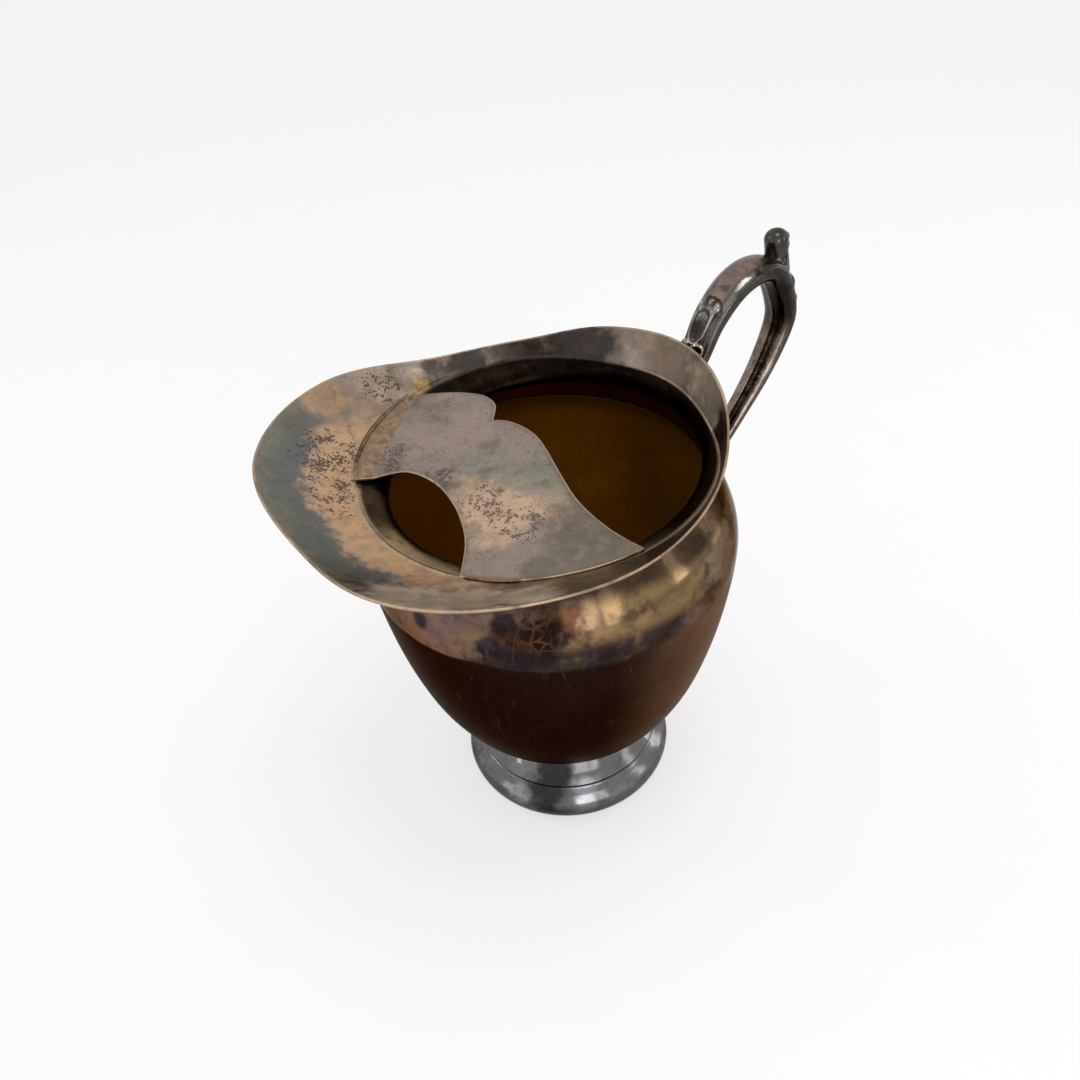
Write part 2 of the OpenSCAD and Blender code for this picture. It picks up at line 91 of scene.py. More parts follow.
# Handle, behind the axis, as distance from it and height
BOW_START = np.array([68.8, 181])
BOW_TOP = np.array([137, 224])
BOW_END = np.array([85.6, 126])
RISE_SHARES = [(0.12, 0.08), (0.225, 0.34), (0.335, 0.65), (0.515, 0.91), (0.72, 1), (0.89, 0.9),
               (1, 0.51)]
FALL_SHARES = [(0.99, 0.655), (0.78, 0.46), (0.49, 0.28), (0.2, 0.115)]
BOW_WIDTHS = (13.5, 18, 9.5)
BOW_DEPTHS = (3.2, 6.5, 2.2)
FACE_T = 4
CROWN_FROM = 0.4
NARROWS = (0.5, 0.95)
FACE_POWER, BACK_POWER, SIDE_POWER = 0.9, 0.9, 0.88
RIDGE_H = 0.35
RIDGE_AT, RIDGE_W, RIDGE_MARK_W = 270, 5, 4
BOW_STEP = 0.002
LOWER_LIMB = (0.6, 0.16)
# Painted highlights along the handle's upper corners: section angles, width, and where along the handle they
# sit
HIGHLIGHT_ANGLES, HIGHLIGHT_W, HIGHLIGHT_SHARE = (40, 140), 13, (0.38, 0.12)
UPPER_LEAF = (0.13, 0.3), [46, 58, 60, 52, 50, 60, 20]
BACK_LEAF = (0.515, 0.64), [56, 58, 58, 54, 48, 40, 10]
LEAF_SINK = 0.8
THUMB_AT = 0.5
THUMB_H = 15.5
THUMB_R = 6
THUMB_LEAN = np.radians(8)
THUMB_OUTLINE = [1, 0.93, 0.88, 0.87, 0.88, 0.89, 0.9, 0.9]
THUMB_ROLLS = [(0.8, 0.74, 0.1), (0.8, 0.5, 0.09), (-0.5, 0.62, 0.05)]
THUMB_GROOVE = (0.35, 0.75, 0.12)
THUMB_SPREAD, THUMB_WRAP, THUMB_SINK = 1.15, 56, 0.4
THUMB_FOOT, THUMB_TIP, THUMB_TIP_POWER = 0.3, 0.66, 2.2
PAD_R, PAD_BROAD = 7.5, 1.08
PAD_FLARES, PAD_BEADS = (1.4, 1.6), (0.9, 0.0)
PAD_BEAD_AT, PAD_BEAD_W = 0.5, 0.16
PAD_START, PAD_SINK, PAD_OVER = 2.5, 0.4, 0.2
PAD_ROUNDS = 12

# Colours of the lip from the bend to the spout's edge, and turns and stretches of the hair scratches
LIP_BANDS = [(0.0, (172, 146, 118)), (0.2, (196, 156, 119)), (0.42, (186, 154, 126)), (0.49, (140, 122, 112)),
             (0.56, (98, 102, 103)), (0.68, (88, 98, 99)), (0.86, (97, 103, 100)), (0.98, (116, 113, 102))]
SCRATCH_RUNS = [((0.3, 0.2, 0.7), (30.0, 900.0, 60.0)), ((1.1, 0.5, 0.2), (800.0, 40.0, 70.0))]
EDGE_TINT, LIP_TINT, BOWL_TINT = (0.8, 0.8, 0.8, 1), (0.55, 0.5, 0.45, 1), (0.5, 0.43, 0.39, 1)

# Lamps: name, azimuth, elevation, distance and size in metres, radiance and tint
LAMPS = [
    ("window_broad_pane", 67, 14, 1.1, (0.36, 0.74), 2.3),
    ("window_narrow_pane", 84, 14, 1.1, (0.17, 0.74), 2.3),
    ("side_pane", 162, 14, 1.1, (0.22, 0.74), 2.0),
    ("right_pane", 128, 16, 1.1, (0.15, 0.6), 2.4),
    ("cool_pane", -12, 10, 1.1, (0.12, 0.4), 2.6, (0.6, 0.8, 1)),
    ("top_lamp", 100, 80, 1.4, (0.6, 0.6), 3.2),
    ("rear_lamp", -46, 36, 1.2, (0.25, 0.25), 4.5),
]
LAMP_AIM = Vector((0, 0, 0.12))
FLOOR_REACH = 4.0
FLOOR_WHITE = 0.6
WORLD_LIGHT = 0.78

# Camera, in metres, radians and millimetres of lens
CAMERA_EYE = Vector((0.19327, 0.28354, 0.41222))
CAMERA_AIM = Vector((0.00431, -0.00294, 0.13655))
CAMERA_ROLL = -0.09509
CAMERA_LENS, CAMERA_SENSOR = 33.467, 36


def srgb(red, green, blue):
    """A colour picked on a 0 to 255 scale, as the linear values that shaders take."""
    c = np.array([red, green, blue]) / 255
    lin = np.where(c <= 0.04045, c / 12.92, ((c + 0.055) / 1.055) ** 2.4)
    return (*(float(v) for v in lin), 1.0)


# Shapes
def mix(a, b, t):
    """Straight step from a to b."""
    return a + (b - a) * t


def ease(t):
    """Soft step from 0 to 1."""
    t = np.clip(t, 0, 1)
    return t * t * (3 - 2 * t)


def bump(x, middle, width):
    """Bell curve: 1 at the middle, falling to 0 over a few widths."""
    return np.exp(-(((x - middle) / width) ** 2))


def cubic(a, b, c, d, t):
    """Smooth step from b to c whose slope at each end comes from the keys on both sides."""
    return (2 * b + (c - a) * t + (2 * a - 5 * b + 4 * c - d) * t**2 + (3 * b - a - 3 * c + d) * t**3) / 2


def through(keys, at):
    """Smooth curve through key rows; at runs from 0 at the first key to 1 at the last."""
    keys = np.asarray(keys, float)
    last = len(keys) - 1
    along = np.clip(np.asarray(at, float), 0, 1) * last
    i = np.minimum(along.astype(int), last - 1)
    t = along - i
    if keys.ndim > 1:
        t = t[..., None]
    return cubic(*(keys[np.clip(i + k, 0, last)] for k in (-1, 0, 1, 2)), t)


def round_collar(values, bearing):
    """Value at a bearing in degrees, from keys between spout and back that count for both sides."""
    keys = np.asarray(values, float)[[1, 0, 1, 2, 3, 4, 5, 6, 5]]
    along = np.abs(bearing) / KEY_ANGLE
    i = np.minimum(along.astype(int), len(values) - 2)
    return cubic(*(keys[i + k] for k in range(4)), along - i)


def left_of(outline):
    """Unit normals to the left of an outline whose points run along the first axis."""
    d = np.gradient(outline, axis=0)
    d = d / np.linalg.norm(d, axis=-1, keepdims=True)
    return np.stack([-d[..., 1], d[..., 0]], axis=-1)


def spun(outline, turns=240):
    """Surface of revolution: each outline point (r, z) goes round the axis."""
    a = np.linspace(0, 2 * np.pi, turns, endpoint=False)
    r, z = outline[:, 0, None], outline[:, 1, None]
    return np.stack([r * np.cos(a), r * np.sin(a), z + 0 * a], axis=-1)


def close_ends(grid):
    """Rings with one more ring at each end, drawn together at the middle of the end ring."""
    ends = [np.broadcast_to(ring.mean(axis=0), ring.shape)[None] for ring in (grid[0], grid[-1])]
    return np.concatenate([ends[0], grid, ends[1]])


def skin(name, grid, rounds=(True, True), marks=None, sharp=40):
    """Mesh piece of quads between neighbouring grid points, in millimetres; rounds tells which ways close.

    Points that meet are joined, so seams and poles are closed, and faces are turned outwards.
    marks are named values at the grid points, for the materials.
    """
    rows, cols = grid.shape[:2]
    flat = grid.reshape(-1, 3)
    _, first, joined = np.unique(np.round(flat, 5), axis=0, return_index=True, return_inverse=True)
    joined = joined.reshape(-1)
    i = np.arange(rows if rounds[0] else rows - 1)[:, None]
    j = np.arange(cols if rounds[1] else cols - 1)[None, :]
    down, right = (i + 1) % rows, (j + 1) % cols
    quads = np.stack([i * cols + j, down * cols + j, down * cols + right, i * cols + right], axis=-1)
    quads = joined[quads.reshape(-1, 4)]
    same = quads == np.roll(quads, -1, axis=1)
    full = quads[same.sum(axis=1) == 0]
    full = full[(full[:, 0] != full[:, 2]) & (full[:, 1] != full[:, 3])]
    thin = same.sum(axis=1) == 1
    tris = quads[thin][~same[thin]].reshape(-1, 3)
    points = flat[first] * MM
    parts = np.concatenate([full[:, [0, 1, 2]], full[:, [0, 2, 3]], tris])
    a, b, c = (points[parts[:, k]] for k in range(3))
    if np.einsum("ij,ij->", a, np.cross(b, c)) < 0:
        full, tris = full[:, ::-1], tris[:, ::-1]
    mesh = bpy.data.meshes.new(name)
    mesh.from_pydata(points.tolist(), [], full.tolist() + tris.tolist())
    for mark, values in (marks or {}).items():
        values = np.broadcast_to(values, (rows, cols)).reshape(-1)[first]
        mesh.attributes.new(mark, "FLOAT", "POINT").data.foreach_set("value", values.astype(np.float32))
    mesh.polygons.foreach_set("use_smooth", np.ones(len(mesh.polygons), bool))
    mesh.set_sharp_from_angle(angle=np.radians(sharp))
    mesh.update()
    piece = bpy.data.objects.new(name, mesh)
    bpy.context.scene.collection.objects.link(piece)
    return piece


def place(piece, material, slot, *nodes):
    """Gives a piece its material and puts it in the frame in the place of CAD nodes."""
    piece.data.materials.append(material)
    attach(piece, "root")
    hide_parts(*nodes)


def bowl_wall():
    """Bowl: smooth outline turned round the axis, outside up and inside down, one sheet apart."""
    out = through(BOWL_KEYS, np.linspace(0, 1, 120))
    inner = out + BOWL_SHEET * left_of(out)
    inner[0], inner[-1] = (BOWL_KEYS[0][0], BOWL_KEYS[0][1] + BOWL_SHEET), (SHOULDER_R, BOWL_KEYS[-1][1])
    low = np.array([[0, BOWL_KEYS[0][1]]])
    line = np.concatenate([low, out, inner[::-1], low + [[0, BOWL_SHEET]]])
    outer = np.concatenate([np.ones(len(out) + 1), np.zeros(len(inner) + 1)])
    return skin("bowl", spun(line), rounds=(False, True), marks={"outer": outer[:, None]})


def foot_piece(name, keys, inner_of, bead):
    """Foot ring: outline with a bead near its top, turned round the axis and closed by an inner wall."""
    share = np.linspace(0, 1, 120)
    out = through(keys, share)
    relief = bead * bump(share, FOOT_BEAD_AT, FOOT_BEAD_W)
    line = np.concatenate([out - left_of(out) * relief[:, None], inner_of(out)[::-1]])
    return skin(name, spun(line), sharp=32)


def moulding_inner(out):
    """Inside of the base moulding: its outline one wall in, with a flat bottom and a ledge at the top."""
    inner = out + FOOT_WALL * left_of(out)
    inner[0] = out[0] - [FOOT_WALL, 0]
    ledge = PEDESTAL_KEYS[1][0] - FOOT_WALL
    return np.concatenate([inner, [[ledge, out[-1, 1] - FOOT_WALL], [ledge, out[-1, 1]]]])


def pedestal_inner(out):
    """Inside of the waist: its outline moved in by one wall."""
    return out - [FOOT_WALL, 0]


def guard_height(x):
    """Height of the guard's sloping plane at a distance towards the spout."""
    return GUARD_Z - x * np.tan(GUARD_SLOPE)


def collar_line(bearing):
    """Inside outline of the collar at each bearing: throat, neck up to the bend, then the lip.

    The neck is a curve from the throat to the bend, and the lip a shallow hollow from the bend to its edge.
    Returns (r, z) points and the share along them: below 0 on the neck, 0 at the bend and 1 at the edge.
    """
    rad = np.radians(bearing)
    bend = np.stack([round_collar(BEND_R, bearing)] * 2, axis=-1)
    bend[:, 1] = guard_height(bend[:, 0] * np.cos(rad))
    edge = np.stack([round_collar(LIP_R, bearing), round_collar(LIP_Z, bearing)], axis=-1)
    rear = (1 - np.cos(rad)) / 2
    throat_z = mix(COLLAR_Z, bend[:, 1], mix(*THROAT_RISE, rear))
    throat = np.stack([mix(SHOULDER_R, THROAT_BACK_R, rear), throat_z], axis=-1)
    seat = np.broadcast_to([SHOULDER_R, COLLAR_Z], throat.shape)
    pull = np.stack([throat[:, 0], mix(throat[:, 1], bend[:, 1], NECK_PULL)], axis=-1)
    t0 = np.linspace(0, 1, 6)[:-1, None, None]
    t1 = (1 - (1 - np.linspace(0, 1, 30)[:-1]) ** ROWS_CROWD)[:, None, None]
    t2 = (np.linspace(0, 1, 40) ** ROWS_CROWD)[:, None, None]
    low = mix(seat, throat, t0)
    neck = (1 - t1) ** 2 * throat + 2 * t1 * (1 - t1) * pull + t1**2 * bend
    lip = mix(bend, edge, t2)
    lip[..., 1] -= LIP_SAG * (edge - bend)[:, 0] * (4 * t2 * (1 - t2))[..., 0]
    share = np.concatenate([t0 - 2, t1 - 1, t2])[:, 0, 0]
    return np.concatenate([low, neck, lip]), share


def collar():
    """Collar: the inside outline goes round by bearing, with a fine bead along the bend and a round edge,
    and comes back down on the outside, one sheet away."""
    bearing = np.linspace(-180, 180, 400, endpoint=False)
    line, share = collar_line(bearing)
    left = left_of(line)
    sheet = mix(COLLAR_SHEET, RIM_SHEET, ease(share))[:, None, None]
    outer = line - sheet * left
    outer[0] = (SHOULDER_R + COLLAR_SHEET, COLLAR_Z)
    step = np.linalg.norm(np.diff(line, axis=0, prepend=line[:1]), axis=-1).cumsum(axis=0)
    at_bend = step[np.argmin(np.abs(share))]
    far = 1 - ease((-bearing - BEAD_ENDS[0]) / (BEAD_ENDS[1] - BEAD_ENDS[0]))
    bead = BEAD_H * far * (1 - ease((bearing - BEAD_ENDS[2]) / (BEAD_ENDS[3] - BEAD_ENDS[2])))
    inner = line + left * (bead * bump(step, at_bend, BEAD_W))[..., None]
    middle = (inner[-1] + outer[-1]) / 2
    reach = (inner[-1] - outer[-1]) / 2
    ahead = np.stack([reach[:, 1], -reach[:, 0]], axis=-1)
    turn = EDGE_TURNS[:, None, None]
    rim = middle + np.sin(turn) * reach + np.cos(turn) * ahead
    loop = np.concatenate([inner, rim, outer[::-1]])
    rad = np.radians(bearing)
    grid = np.stack([loop[..., 0] * np.cos(rad), loop[..., 0] * np.sin(rad), loop[..., 1]], axis=-1)
    along = np.concatenate([share, np.ones(len(EDGE_TURNS)), share[::-1]])[:, None]
    outside = np.repeat([0, 0.5, 1], [len(share), len(EDGE_TURNS), len(share)])[:, None]
    return skin("spout_collar_sheet", grid, marks={"rise": along, "outer": outside}, sharp=50)


def at_wall(bearing):
    """Point of the guard's plane just off the collar's wall at a bearing."""
    r = round_collar(BEND_R, bearing) - np.interp(bearing, GAP_BEARINGS, GAP_WIDTHS)
    rad = np.radians(bearing)
    return np.stack([r * np.cos(rad) / np.cos(GUARD_SLOPE), r * np.sin(rad)], axis=-1)


def in_guard_plane(flat, z):
    """Points of the guard's sloping plane, at a height above it, in the frame."""
    x, y = flat[..., 0], flat[..., 1]
    c, n = np.cos(GUARD_SLOPE), np.sin(GUARD_SLOPE)
    return np.stack([x * c + z * n, y, GUARD_Z - x * n + z * c], axis=-1)


def guard():
    """Guard: straight rulings from the notched back edge to the edge along the wall and the pour hole.

    The sheet lies in the sloping plane and turns up along a fold near the wall; its edges are rounded.
    """
    s = np.unique(np.concatenate([np.linspace(0, 1, 300), [NOTCH_SHARE, *POUR_SHARES]]))
    ends = at_wall(np.array([FAR_ANGLE, -POUR_ANGLE, POUR_ANGLE, NEAR_ANGLE]))
    far = through([ends[0], *FAR_EDGE, NOTCH], s / NOTCH_SHARE)
    near = through([NOTCH, *NEAR_EDGE, ends[3]], (s - NOTCH_SHARE) / (1 - NOTCH_SHARE))
    back = np.where(s[:, None] < NOTCH_SHARE, far, near)
    p0, p1 = POUR_SHARES
    wall = at_wall(np.interp(s, [0, p0, p1, 1], [FAR_ANGLE, -POUR_ANGLE, POUR_ANGLE, NEAR_ANGLE]))
    pour = through([ends[1], *POUR_EDGE, ends[2]], (s - p0) / (p1 - p0))
    front = np.where(((s > p0) & (s < p1))[:, None], pour, wall)
    span = front - back
    width = np.linalg.norm(span, axis=-1)
    ahead = span / np.maximum(width, 1e-6)[:, None]
    across = np.linspace(0, 1, 60)
    turn = -EDGE_TURNS
    flat_side, edge_side = np.ones_like(across), np.ones_like(turn)
    t = np.concatenate([across, edge_side, across[::-1], 0 * edge_side])[:, None]
    up = np.concatenate([-flat_side, np.sin(turn), flat_side, np.sin(turn[::-1])])[:, None] * GUARD_T / 2
    past = np.concatenate([0 * flat_side, np.cos(turn), 0 * flat_side, -np.cos(turn)])[:, None]
    past = past * GUARD_T / 2 * np.minimum(width / GUARD_T, 1)
    flat = mix(back, front, t[..., None]) + past[..., None] * ahead
    bearing = np.degrees(np.arctan2(flat[..., 1], flat[..., 0] * np.cos(GUARD_SLOPE)))
    off = round_collar(BEND_R, bearing) - np.hypot(flat[..., 0] * np.cos(GUARD_SLOPE), flat[..., 1])
    lift = np.clip(1 - off / np.interp(bearing, FOLD_BEARINGS, FOLD_WIDTHS), 0, 1)
    z = GUARD_TOP - GUARD_T / 2 + up + lift * np.where(bearing < 0, *FLANGE_RISES)
    edge = np.minimum(t, 1 - t) * width
    marks = {"edge": edge, "flange": lift * (bearing < 0)}
    return skin("ice_guard_plate", in_guard_plane(flat, z), rounds=(True, False), marks=marks, sharp=60)


def solder_bead(name, first, last, radius, rise):
    """Solder along the guard's wall: a round section that swells from nothing and back to it."""
    t = np.linspace(0, 1, 60)[:, None]
    a = np.linspace(0, 2 * np.pi, 16, endpoint=False)[None, :]
    r = radius * np.sin(np.pi * t) ** SOLDER_SWELL
    wall = at_wall(mix(first, last, t[:, 0]))[:, None, :]
    away = wall / np.linalg.norm(wall, axis=-1, keepdims=True)
    flat = wall + away * (radius * SOLDER_SET + SOLDER_SPREAD * r * np.cos(a))[..., None]
    return skin(name, in_guard_plane(flat, GUARD_TOP + rise + r * np.sin(a)), rounds=(False, True), sharp=60)


def bow_keys():
    """Keys of the handle's middle line, as shares of the way from either end to its top."""
    return [BOW_START, *(mix(BOW_START, BOW_TOP, np.array(k)) for k in RISE_SHARES),
            *(mix(BOW_END, BOW_TOP, np.array(k)) for k in FALL_SHARES), BOW_END]


def raised(v, power):
    """A power of a value that keeps its sign; powers below 1 square a round section."""
    return np.sign(v) * np.abs(v) ** power


def along_bow(s, values):
    """Value at a share of the handle, from those at the upper joint, the crown and the lower joint."""
    up = mix(values[0], values[1], ease(s / CROWN_FROM))
    down = mix(values[1], values[2], ease((s - NARROWS[0]) / (NARROWS[1] - NARROWS[0])))
    return np.where(s < CROWN_FROM, up, down)


def on_bow(s, angle, off):
    """Point of the handle: its middle line at share s, out along the section; 90 degrees is the outer face.

    The section is a squared round with a deeper back, deepest at the crown, and a fine ridge along the back.
    """
    s, angle, off = np.broadcast_arrays(s, angle, off)
    keys = bow_keys()
    d = through(keys, np.minimum(s + BOW_STEP, 1)) - through(keys, np.maximum(s - BOW_STEP, 0))
    d = d / np.linalg.norm(d, axis=-1, keepdims=True)
    sin, cos = np.sin(np.radians(angle)), np.cos(np.radians(angle))
    face = sin >= 0
    back = along_bow(s, BOW_DEPTHS) * raised(sin, BACK_POWER) - RIDGE_H * bump(angle, RIDGE_AT, RIDGE_W)
    h = np.where(face, (FACE_T + off) * raised(sin, FACE_POWER), back)
    y = (along_bow(s, BOW_WIDTHS) / 2 + off) * raised(cos, np.where(face, FACE_POWER, SIDE_POWER))
    q = through(keys, s)
    return np.stack([-(q[..., 0] - d[..., 1] * h), y, q[..., 1] + d[..., 0] * h], axis=-1)


def handle():
    """Handle: the squared round section carried along the middle line, closed at both ends.

    Its marks are the outer face, painted shade on the back of the upper limb, a paler painted reflection on
    the back of the lower one, painted highlights along the upper corners, and the ridge.
    """
    s = np.linspace(0, 1, 280)[:, None]
    angle = np.linspace(0, 360, 120, endpoint=False)[None, :]
    grid = close_ends(on_bow(s, angle, 0.0))
    sin, cos = np.sin(np.radians(angle)), np.cos(np.radians(angle))
    behind = ease(0.2 - 1.6 * sin)
    lower = ease((s - LOWER_LIMB[0]) / LOWER_LIMB[1])
    # Painted shade on the back of the handle, half as strong on the far side and fading down the lower limb
    inner = behind * np.where(cos < 0, 0.5, 1) * (1 - 0.72 * lower)
    # Painted reflection: the back of the lower limb painted paler
    limb = behind * lower
    # Painted highlights along the two upper corners of the crown
    lightened = sum(bump(angle, corner, HIGHLIGHT_W) for corner in HIGHLIGHT_ANGLES) * bump(s, *HIGHLIGHT_SHARE)
    inner, limb, lightened = (np.pad(m, ((1, 1), (0, 0)), mode="edge") for m in (inner, limb, lightened))
    marks = {"face": ease((sin - 0.78) * 6), "inner": inner, "limb": limb, "lightened": lightened,
             "ridge": bump(angle, RIDGE_AT, RIDGE_MARK_W)}
    return skin("handle_casting", grid, rounds=(False, True), marks=marks, sharp=60)


def leaf(name, span, outline, relief):
    """Applied leaf: a sheet on the handle's outer face whose half width follows an outline in degrees.

    span is the share of the handle where it begins and the share where it ends.
    relief gives its height at share t along and c across, from -1 to 1; the underside is in the handle.
    """
    t = np.linspace(0, 1, 150)[:, None]
    c = np.linspace(-1, 1, 90)[None, :]
    half = through(outline, t[:, 0])[:, None]
    s = mix(*span, t)
    height = relief(t, c)
    top = on_bow(s, 90 + half * c, height)
    low = on_bow(s, 90 + half * c, -LEAF_SINK)
    grid = close_ends(np.concatenate([top, low[:, ::-1]], axis=1))
    relief_mark = np.pad(np.concatenate([height, 0 * height], axis=1), ((1, 1), (0, 0)))
    return skin(name, grid, rounds=(False, True), marks={"relief": relief_mark}, sharp=60)


def upper_relief(t, c):
    """Relief of the upper leaf, from the wall up: two scrolls, a tall framed panel and a three-petal tip."""
    roll = np.hypot((t - 0.26) / 0.1, (np.abs(c) - 0.45) / 0.4)
    panel = np.hypot((t - 0.58) / 0.24, c / (0.3 + 0.35 * t))
    petal = np.hypot((t - 0.93) / 0.07, c / 0.16)
    side = np.hypot((t - 0.86 - 0.12 * (np.abs(c) - 0.45)) / 0.08, (np.abs(c) - 0.45) / 0.22)
    shape = 0.9 * bump(roll, 0.8, 0.3) + 0.55 * bump(panel, 1, 0.14) + 0.4 * np.minimum(panel, 1) ** 2
    shape = shape + 0.9 * bump(petal, 0, 0.8) + 0.9 * bump(side, 0, 0.8)
    return -0.2 + (0.4 + shape) * ease(3 * (1 - np.abs(c))) * ease(8 * (1 - t))


def back_relief(t, c):
    """Relief of the leaf down the back: three lobes that get lower."""
    return -0.3 + (2.3 - t) * (1 - c**2) ** 0.5 * (0.3 + 0.7 * np.sin(np.pi * 3 * t) ** 2)


def thumb_scroll():
    """Thumb rest: rings round a leaning axis, from a ring on the handle's face up to a round tip.

    The radius follows a nearly straight outline, with rolls and a groove on the side away from the bowl.
    """
    h = np.linspace(0, 1, 80)[:, None]
    a = np.linspace(0, 2 * np.pi, 72, endpoint=False)[None, :]
    keys = bow_keys()
    chord = through(keys, THUMB_AT + BOW_STEP) - through(keys, THUMB_AT - BOW_STEP)
    span = THUMB_SPREAD * THUMB_R * 2 * BOW_STEP / np.linalg.norm(chord)
    foot = on_bow(THUMB_AT + span * np.cos(a), 90 - THUMB_WRAP * np.sin(a), -THUMB_SINK)
    base = on_bow(np.array(THUMB_AT), 90, 0.0)
    axis = np.array([np.sin(THUMB_LEAN), 0, np.cos(THUMB_LEAN)])
    side = np.array([-np.cos(THUMB_LEAN), 0, np.sin(THUMB_LEAN)])
    r = THUMB_R * through(THUMB_OUTLINE, h)
    out = np.maximum(np.cos(a), 0) ** 1.5
    r = r + out * sum(height * bump(h, at, width) for height, at, width in THUMB_ROLLS)
    depth, at, width = THUMB_GROOVE
    r = r - depth * bump(np.abs(np.sin(a)), at, width) * out * ease(h * 3)
    tip = np.clip((h - THUMB_TIP) / (1 - THUMB_TIP), 0, 1)
    r = r * np.sqrt(np.clip(1 - tip**THUMB_TIP_POWER, 0, 1))
    round_it = (r * np.cos(a))[..., None] * side + (r * np.sin(a))[..., None] * np.array([0, 1, 0])
    grid = mix(foot, base + h[..., None] * THUMB_H * axis + round_it, ease(h / THUMB_FOOT)[..., None])
    grid = np.concatenate([np.broadcast_to(base - axis, grid[:1].shape), grid])
    return skin("thumb_scroll", grid, rounds=(False, True), sharp=60)


def wall_radius(z):
    """Radius of the outside of bowl and collar at the back, at a height."""
    bowl = through(BOWL_KEYS, np.linspace(0, 1, 200))
    line, share = collar_line(np.array([180.0]))
    neck = (line - COLLAR_SHEET * left_of(line))[:, 0][share < 0.8]
    wall = np.concatenate([bowl[:-1], neck[1:]])
    return np.interp(z, wall[:, 1], wall[:, 0])


def pad(name, end):
    """Pad: the handle's end section grows along the end of its middle line into a round foot on the wall.

    Rows run from inside the handle to the wall. There each point is moved along that line, in rounds, until
    it lies just under the wall's surface. end is 0 for the upper joint and 1 for the lower one.
    """
    q = np.linspace(0, 1, 40)[:, None]
    a = np.linspace(0, 2 * np.pi, 64, endpoint=False)[None, :]
    keys = bow_keys()
    start = through(keys, end)
    d = start - through(keys, abs(end - BOW_STEP))
    d = d / np.linalg.norm(d)
    n = np.array([-d[1], d[0]])
    half_w = BOW_WIDTHS[2 * end] / 2
    grow = ease(q) ** PAD_FLARES[end]
    power = mix(FACE_POWER, 1.0, ease(q * 2))
    bead = PAD_BEADS[end] * bump(q, PAD_BEAD_AT, PAD_BEAD_W)
    y = (mix(half_w + PAD_OVER, PAD_R * PAD_BROAD, grow) + bead) * raised(np.cos(a), power)
    up = (mix(FACE_T + PAD_OVER, PAD_R, grow) + bead) * raised(np.sin(a), power)
    from_r = start[0] + n[0] * up - d[0] * PAD_START
    from_z = start[1] + n[1] * up - d[1] * PAD_START
    reach = np.zeros_like(up)
    for _ in range(PAD_ROUNDS):
        wall = np.sqrt(np.maximum(wall_radius(from_z + d[1] * reach) ** 2 - y**2, 0))
        reach = reach - (from_r + d[0] * reach - wall + PAD_SINK) / d[0]
    grid = np.stack([-(from_r + d[0] * reach * q), y + 0 * up, from_z + d[1] * reach * q], axis=-1)
    return skin(name, close_ends(grid), rounds=(False, True), sharp=60)


# Shader groups and materials
def put(tree, kind, sockets=None, **settings):
    """Adds a node; sockets maps an input's name or number to a value or to another node's output."""
    made = tree.nodes.new("ShaderNode" + kind)
    for key, value in settings.items():
        setattr(made, key, value)
    for key, value in (sockets or {}).items():
        if isinstance(value, bpy.types.NodeSocket):
            tree.links.new(value, made.inputs[key])
        else:
            made.inputs[key].default_value = value
    return made


def calc(tree, operation, *values):
    """Result of a sum on values or outputs."""
    return put(tree, "Math", dict(enumerate(values)), operation=operation).outputs[0]


def fade(tree, value, low, high, to_low=0.0, to_high=1.0):
    """Soft step of a value between two limits."""
    sockets = {"Value": value, "From Min": low, "From Max": high, "To Min": to_low, "To Max": to_high}
    return put(tree, "MapRange", sockets, interpolation_type="SMOOTHSTEP").outputs["Result"]


def blend(tree, factor, a, b):
    """Colour a where the factor is 0 and colour b where it is 1."""
    return put(tree, "Mix", {0: factor, 6: a, 7: b}, data_type="RGBA").outputs[2]


def blend_value(tree, factor, a, b):
    """Number a where the factor is 0 and number b where it is 1."""
    return put(tree, "Mix", {0: factor, 2: a, 3: b}).outputs[0]


def noise(tree, vector, scale, detail=4.0, rough=0.55):
    """Cloudy values about 0.5."""
    sockets = {"Vector": vector, "Scale": scale, "Detail": detail, "Roughness": rough}
    return put(tree, "TexNoise", sockets).outputs["Fac"]


def cloud(tree, vector, *settings):
    """Cloudy values about 0."""
    return calc(tree, "SUBTRACT", noise(tree, vector, *settings), 0.5)


def around_level(tree, value, level, half):
    """Soft step of a value about a level."""
    return fade(tree, value, calc(tree, "SUBTRACT", level, half), calc(tree, "ADD", level, half))


def times(tree, *values):
    """Product of values or outputs."""
    product = values[0]
    for value in values[1:]:
        product = calc(tree, "MULTIPLY", product, value)
    return product


def group(name, inputs, outputs):
    """Empty shader group; returns its tree, what comes in and what goes out.

    inputs are names with a default: a number, a colour, or None for a vector. outputs are names with kinds.
    """
    kinds = {float: "NodeSocketFloat", tuple: "NodeSocketColor", type(None): "NodeSocketVector"}
    tree = bpy.data.node_groups.new(name, "ShaderNodeTree")
    for key, default in inputs.items():
        made = tree.interface.new_socket(key, in_out="INPUT", socket_type=kinds[type(default)])
        if default is not None:
            made.default_value = default
    for key, kind in outputs.items():
        tree.interface.new_socket(key, in_out="OUTPUT", socket_type=kind)
    entry = tree.nodes.new("NodeGroupInput")
    return tree, entry.outputs, tree.nodes.new("NodeGroupOutput").inputs


def use(tree, made, sockets):
    """Puts a shader group into a tree and returns its outputs."""
    return put(tree, "Group", sockets, node_tree=made).outputs


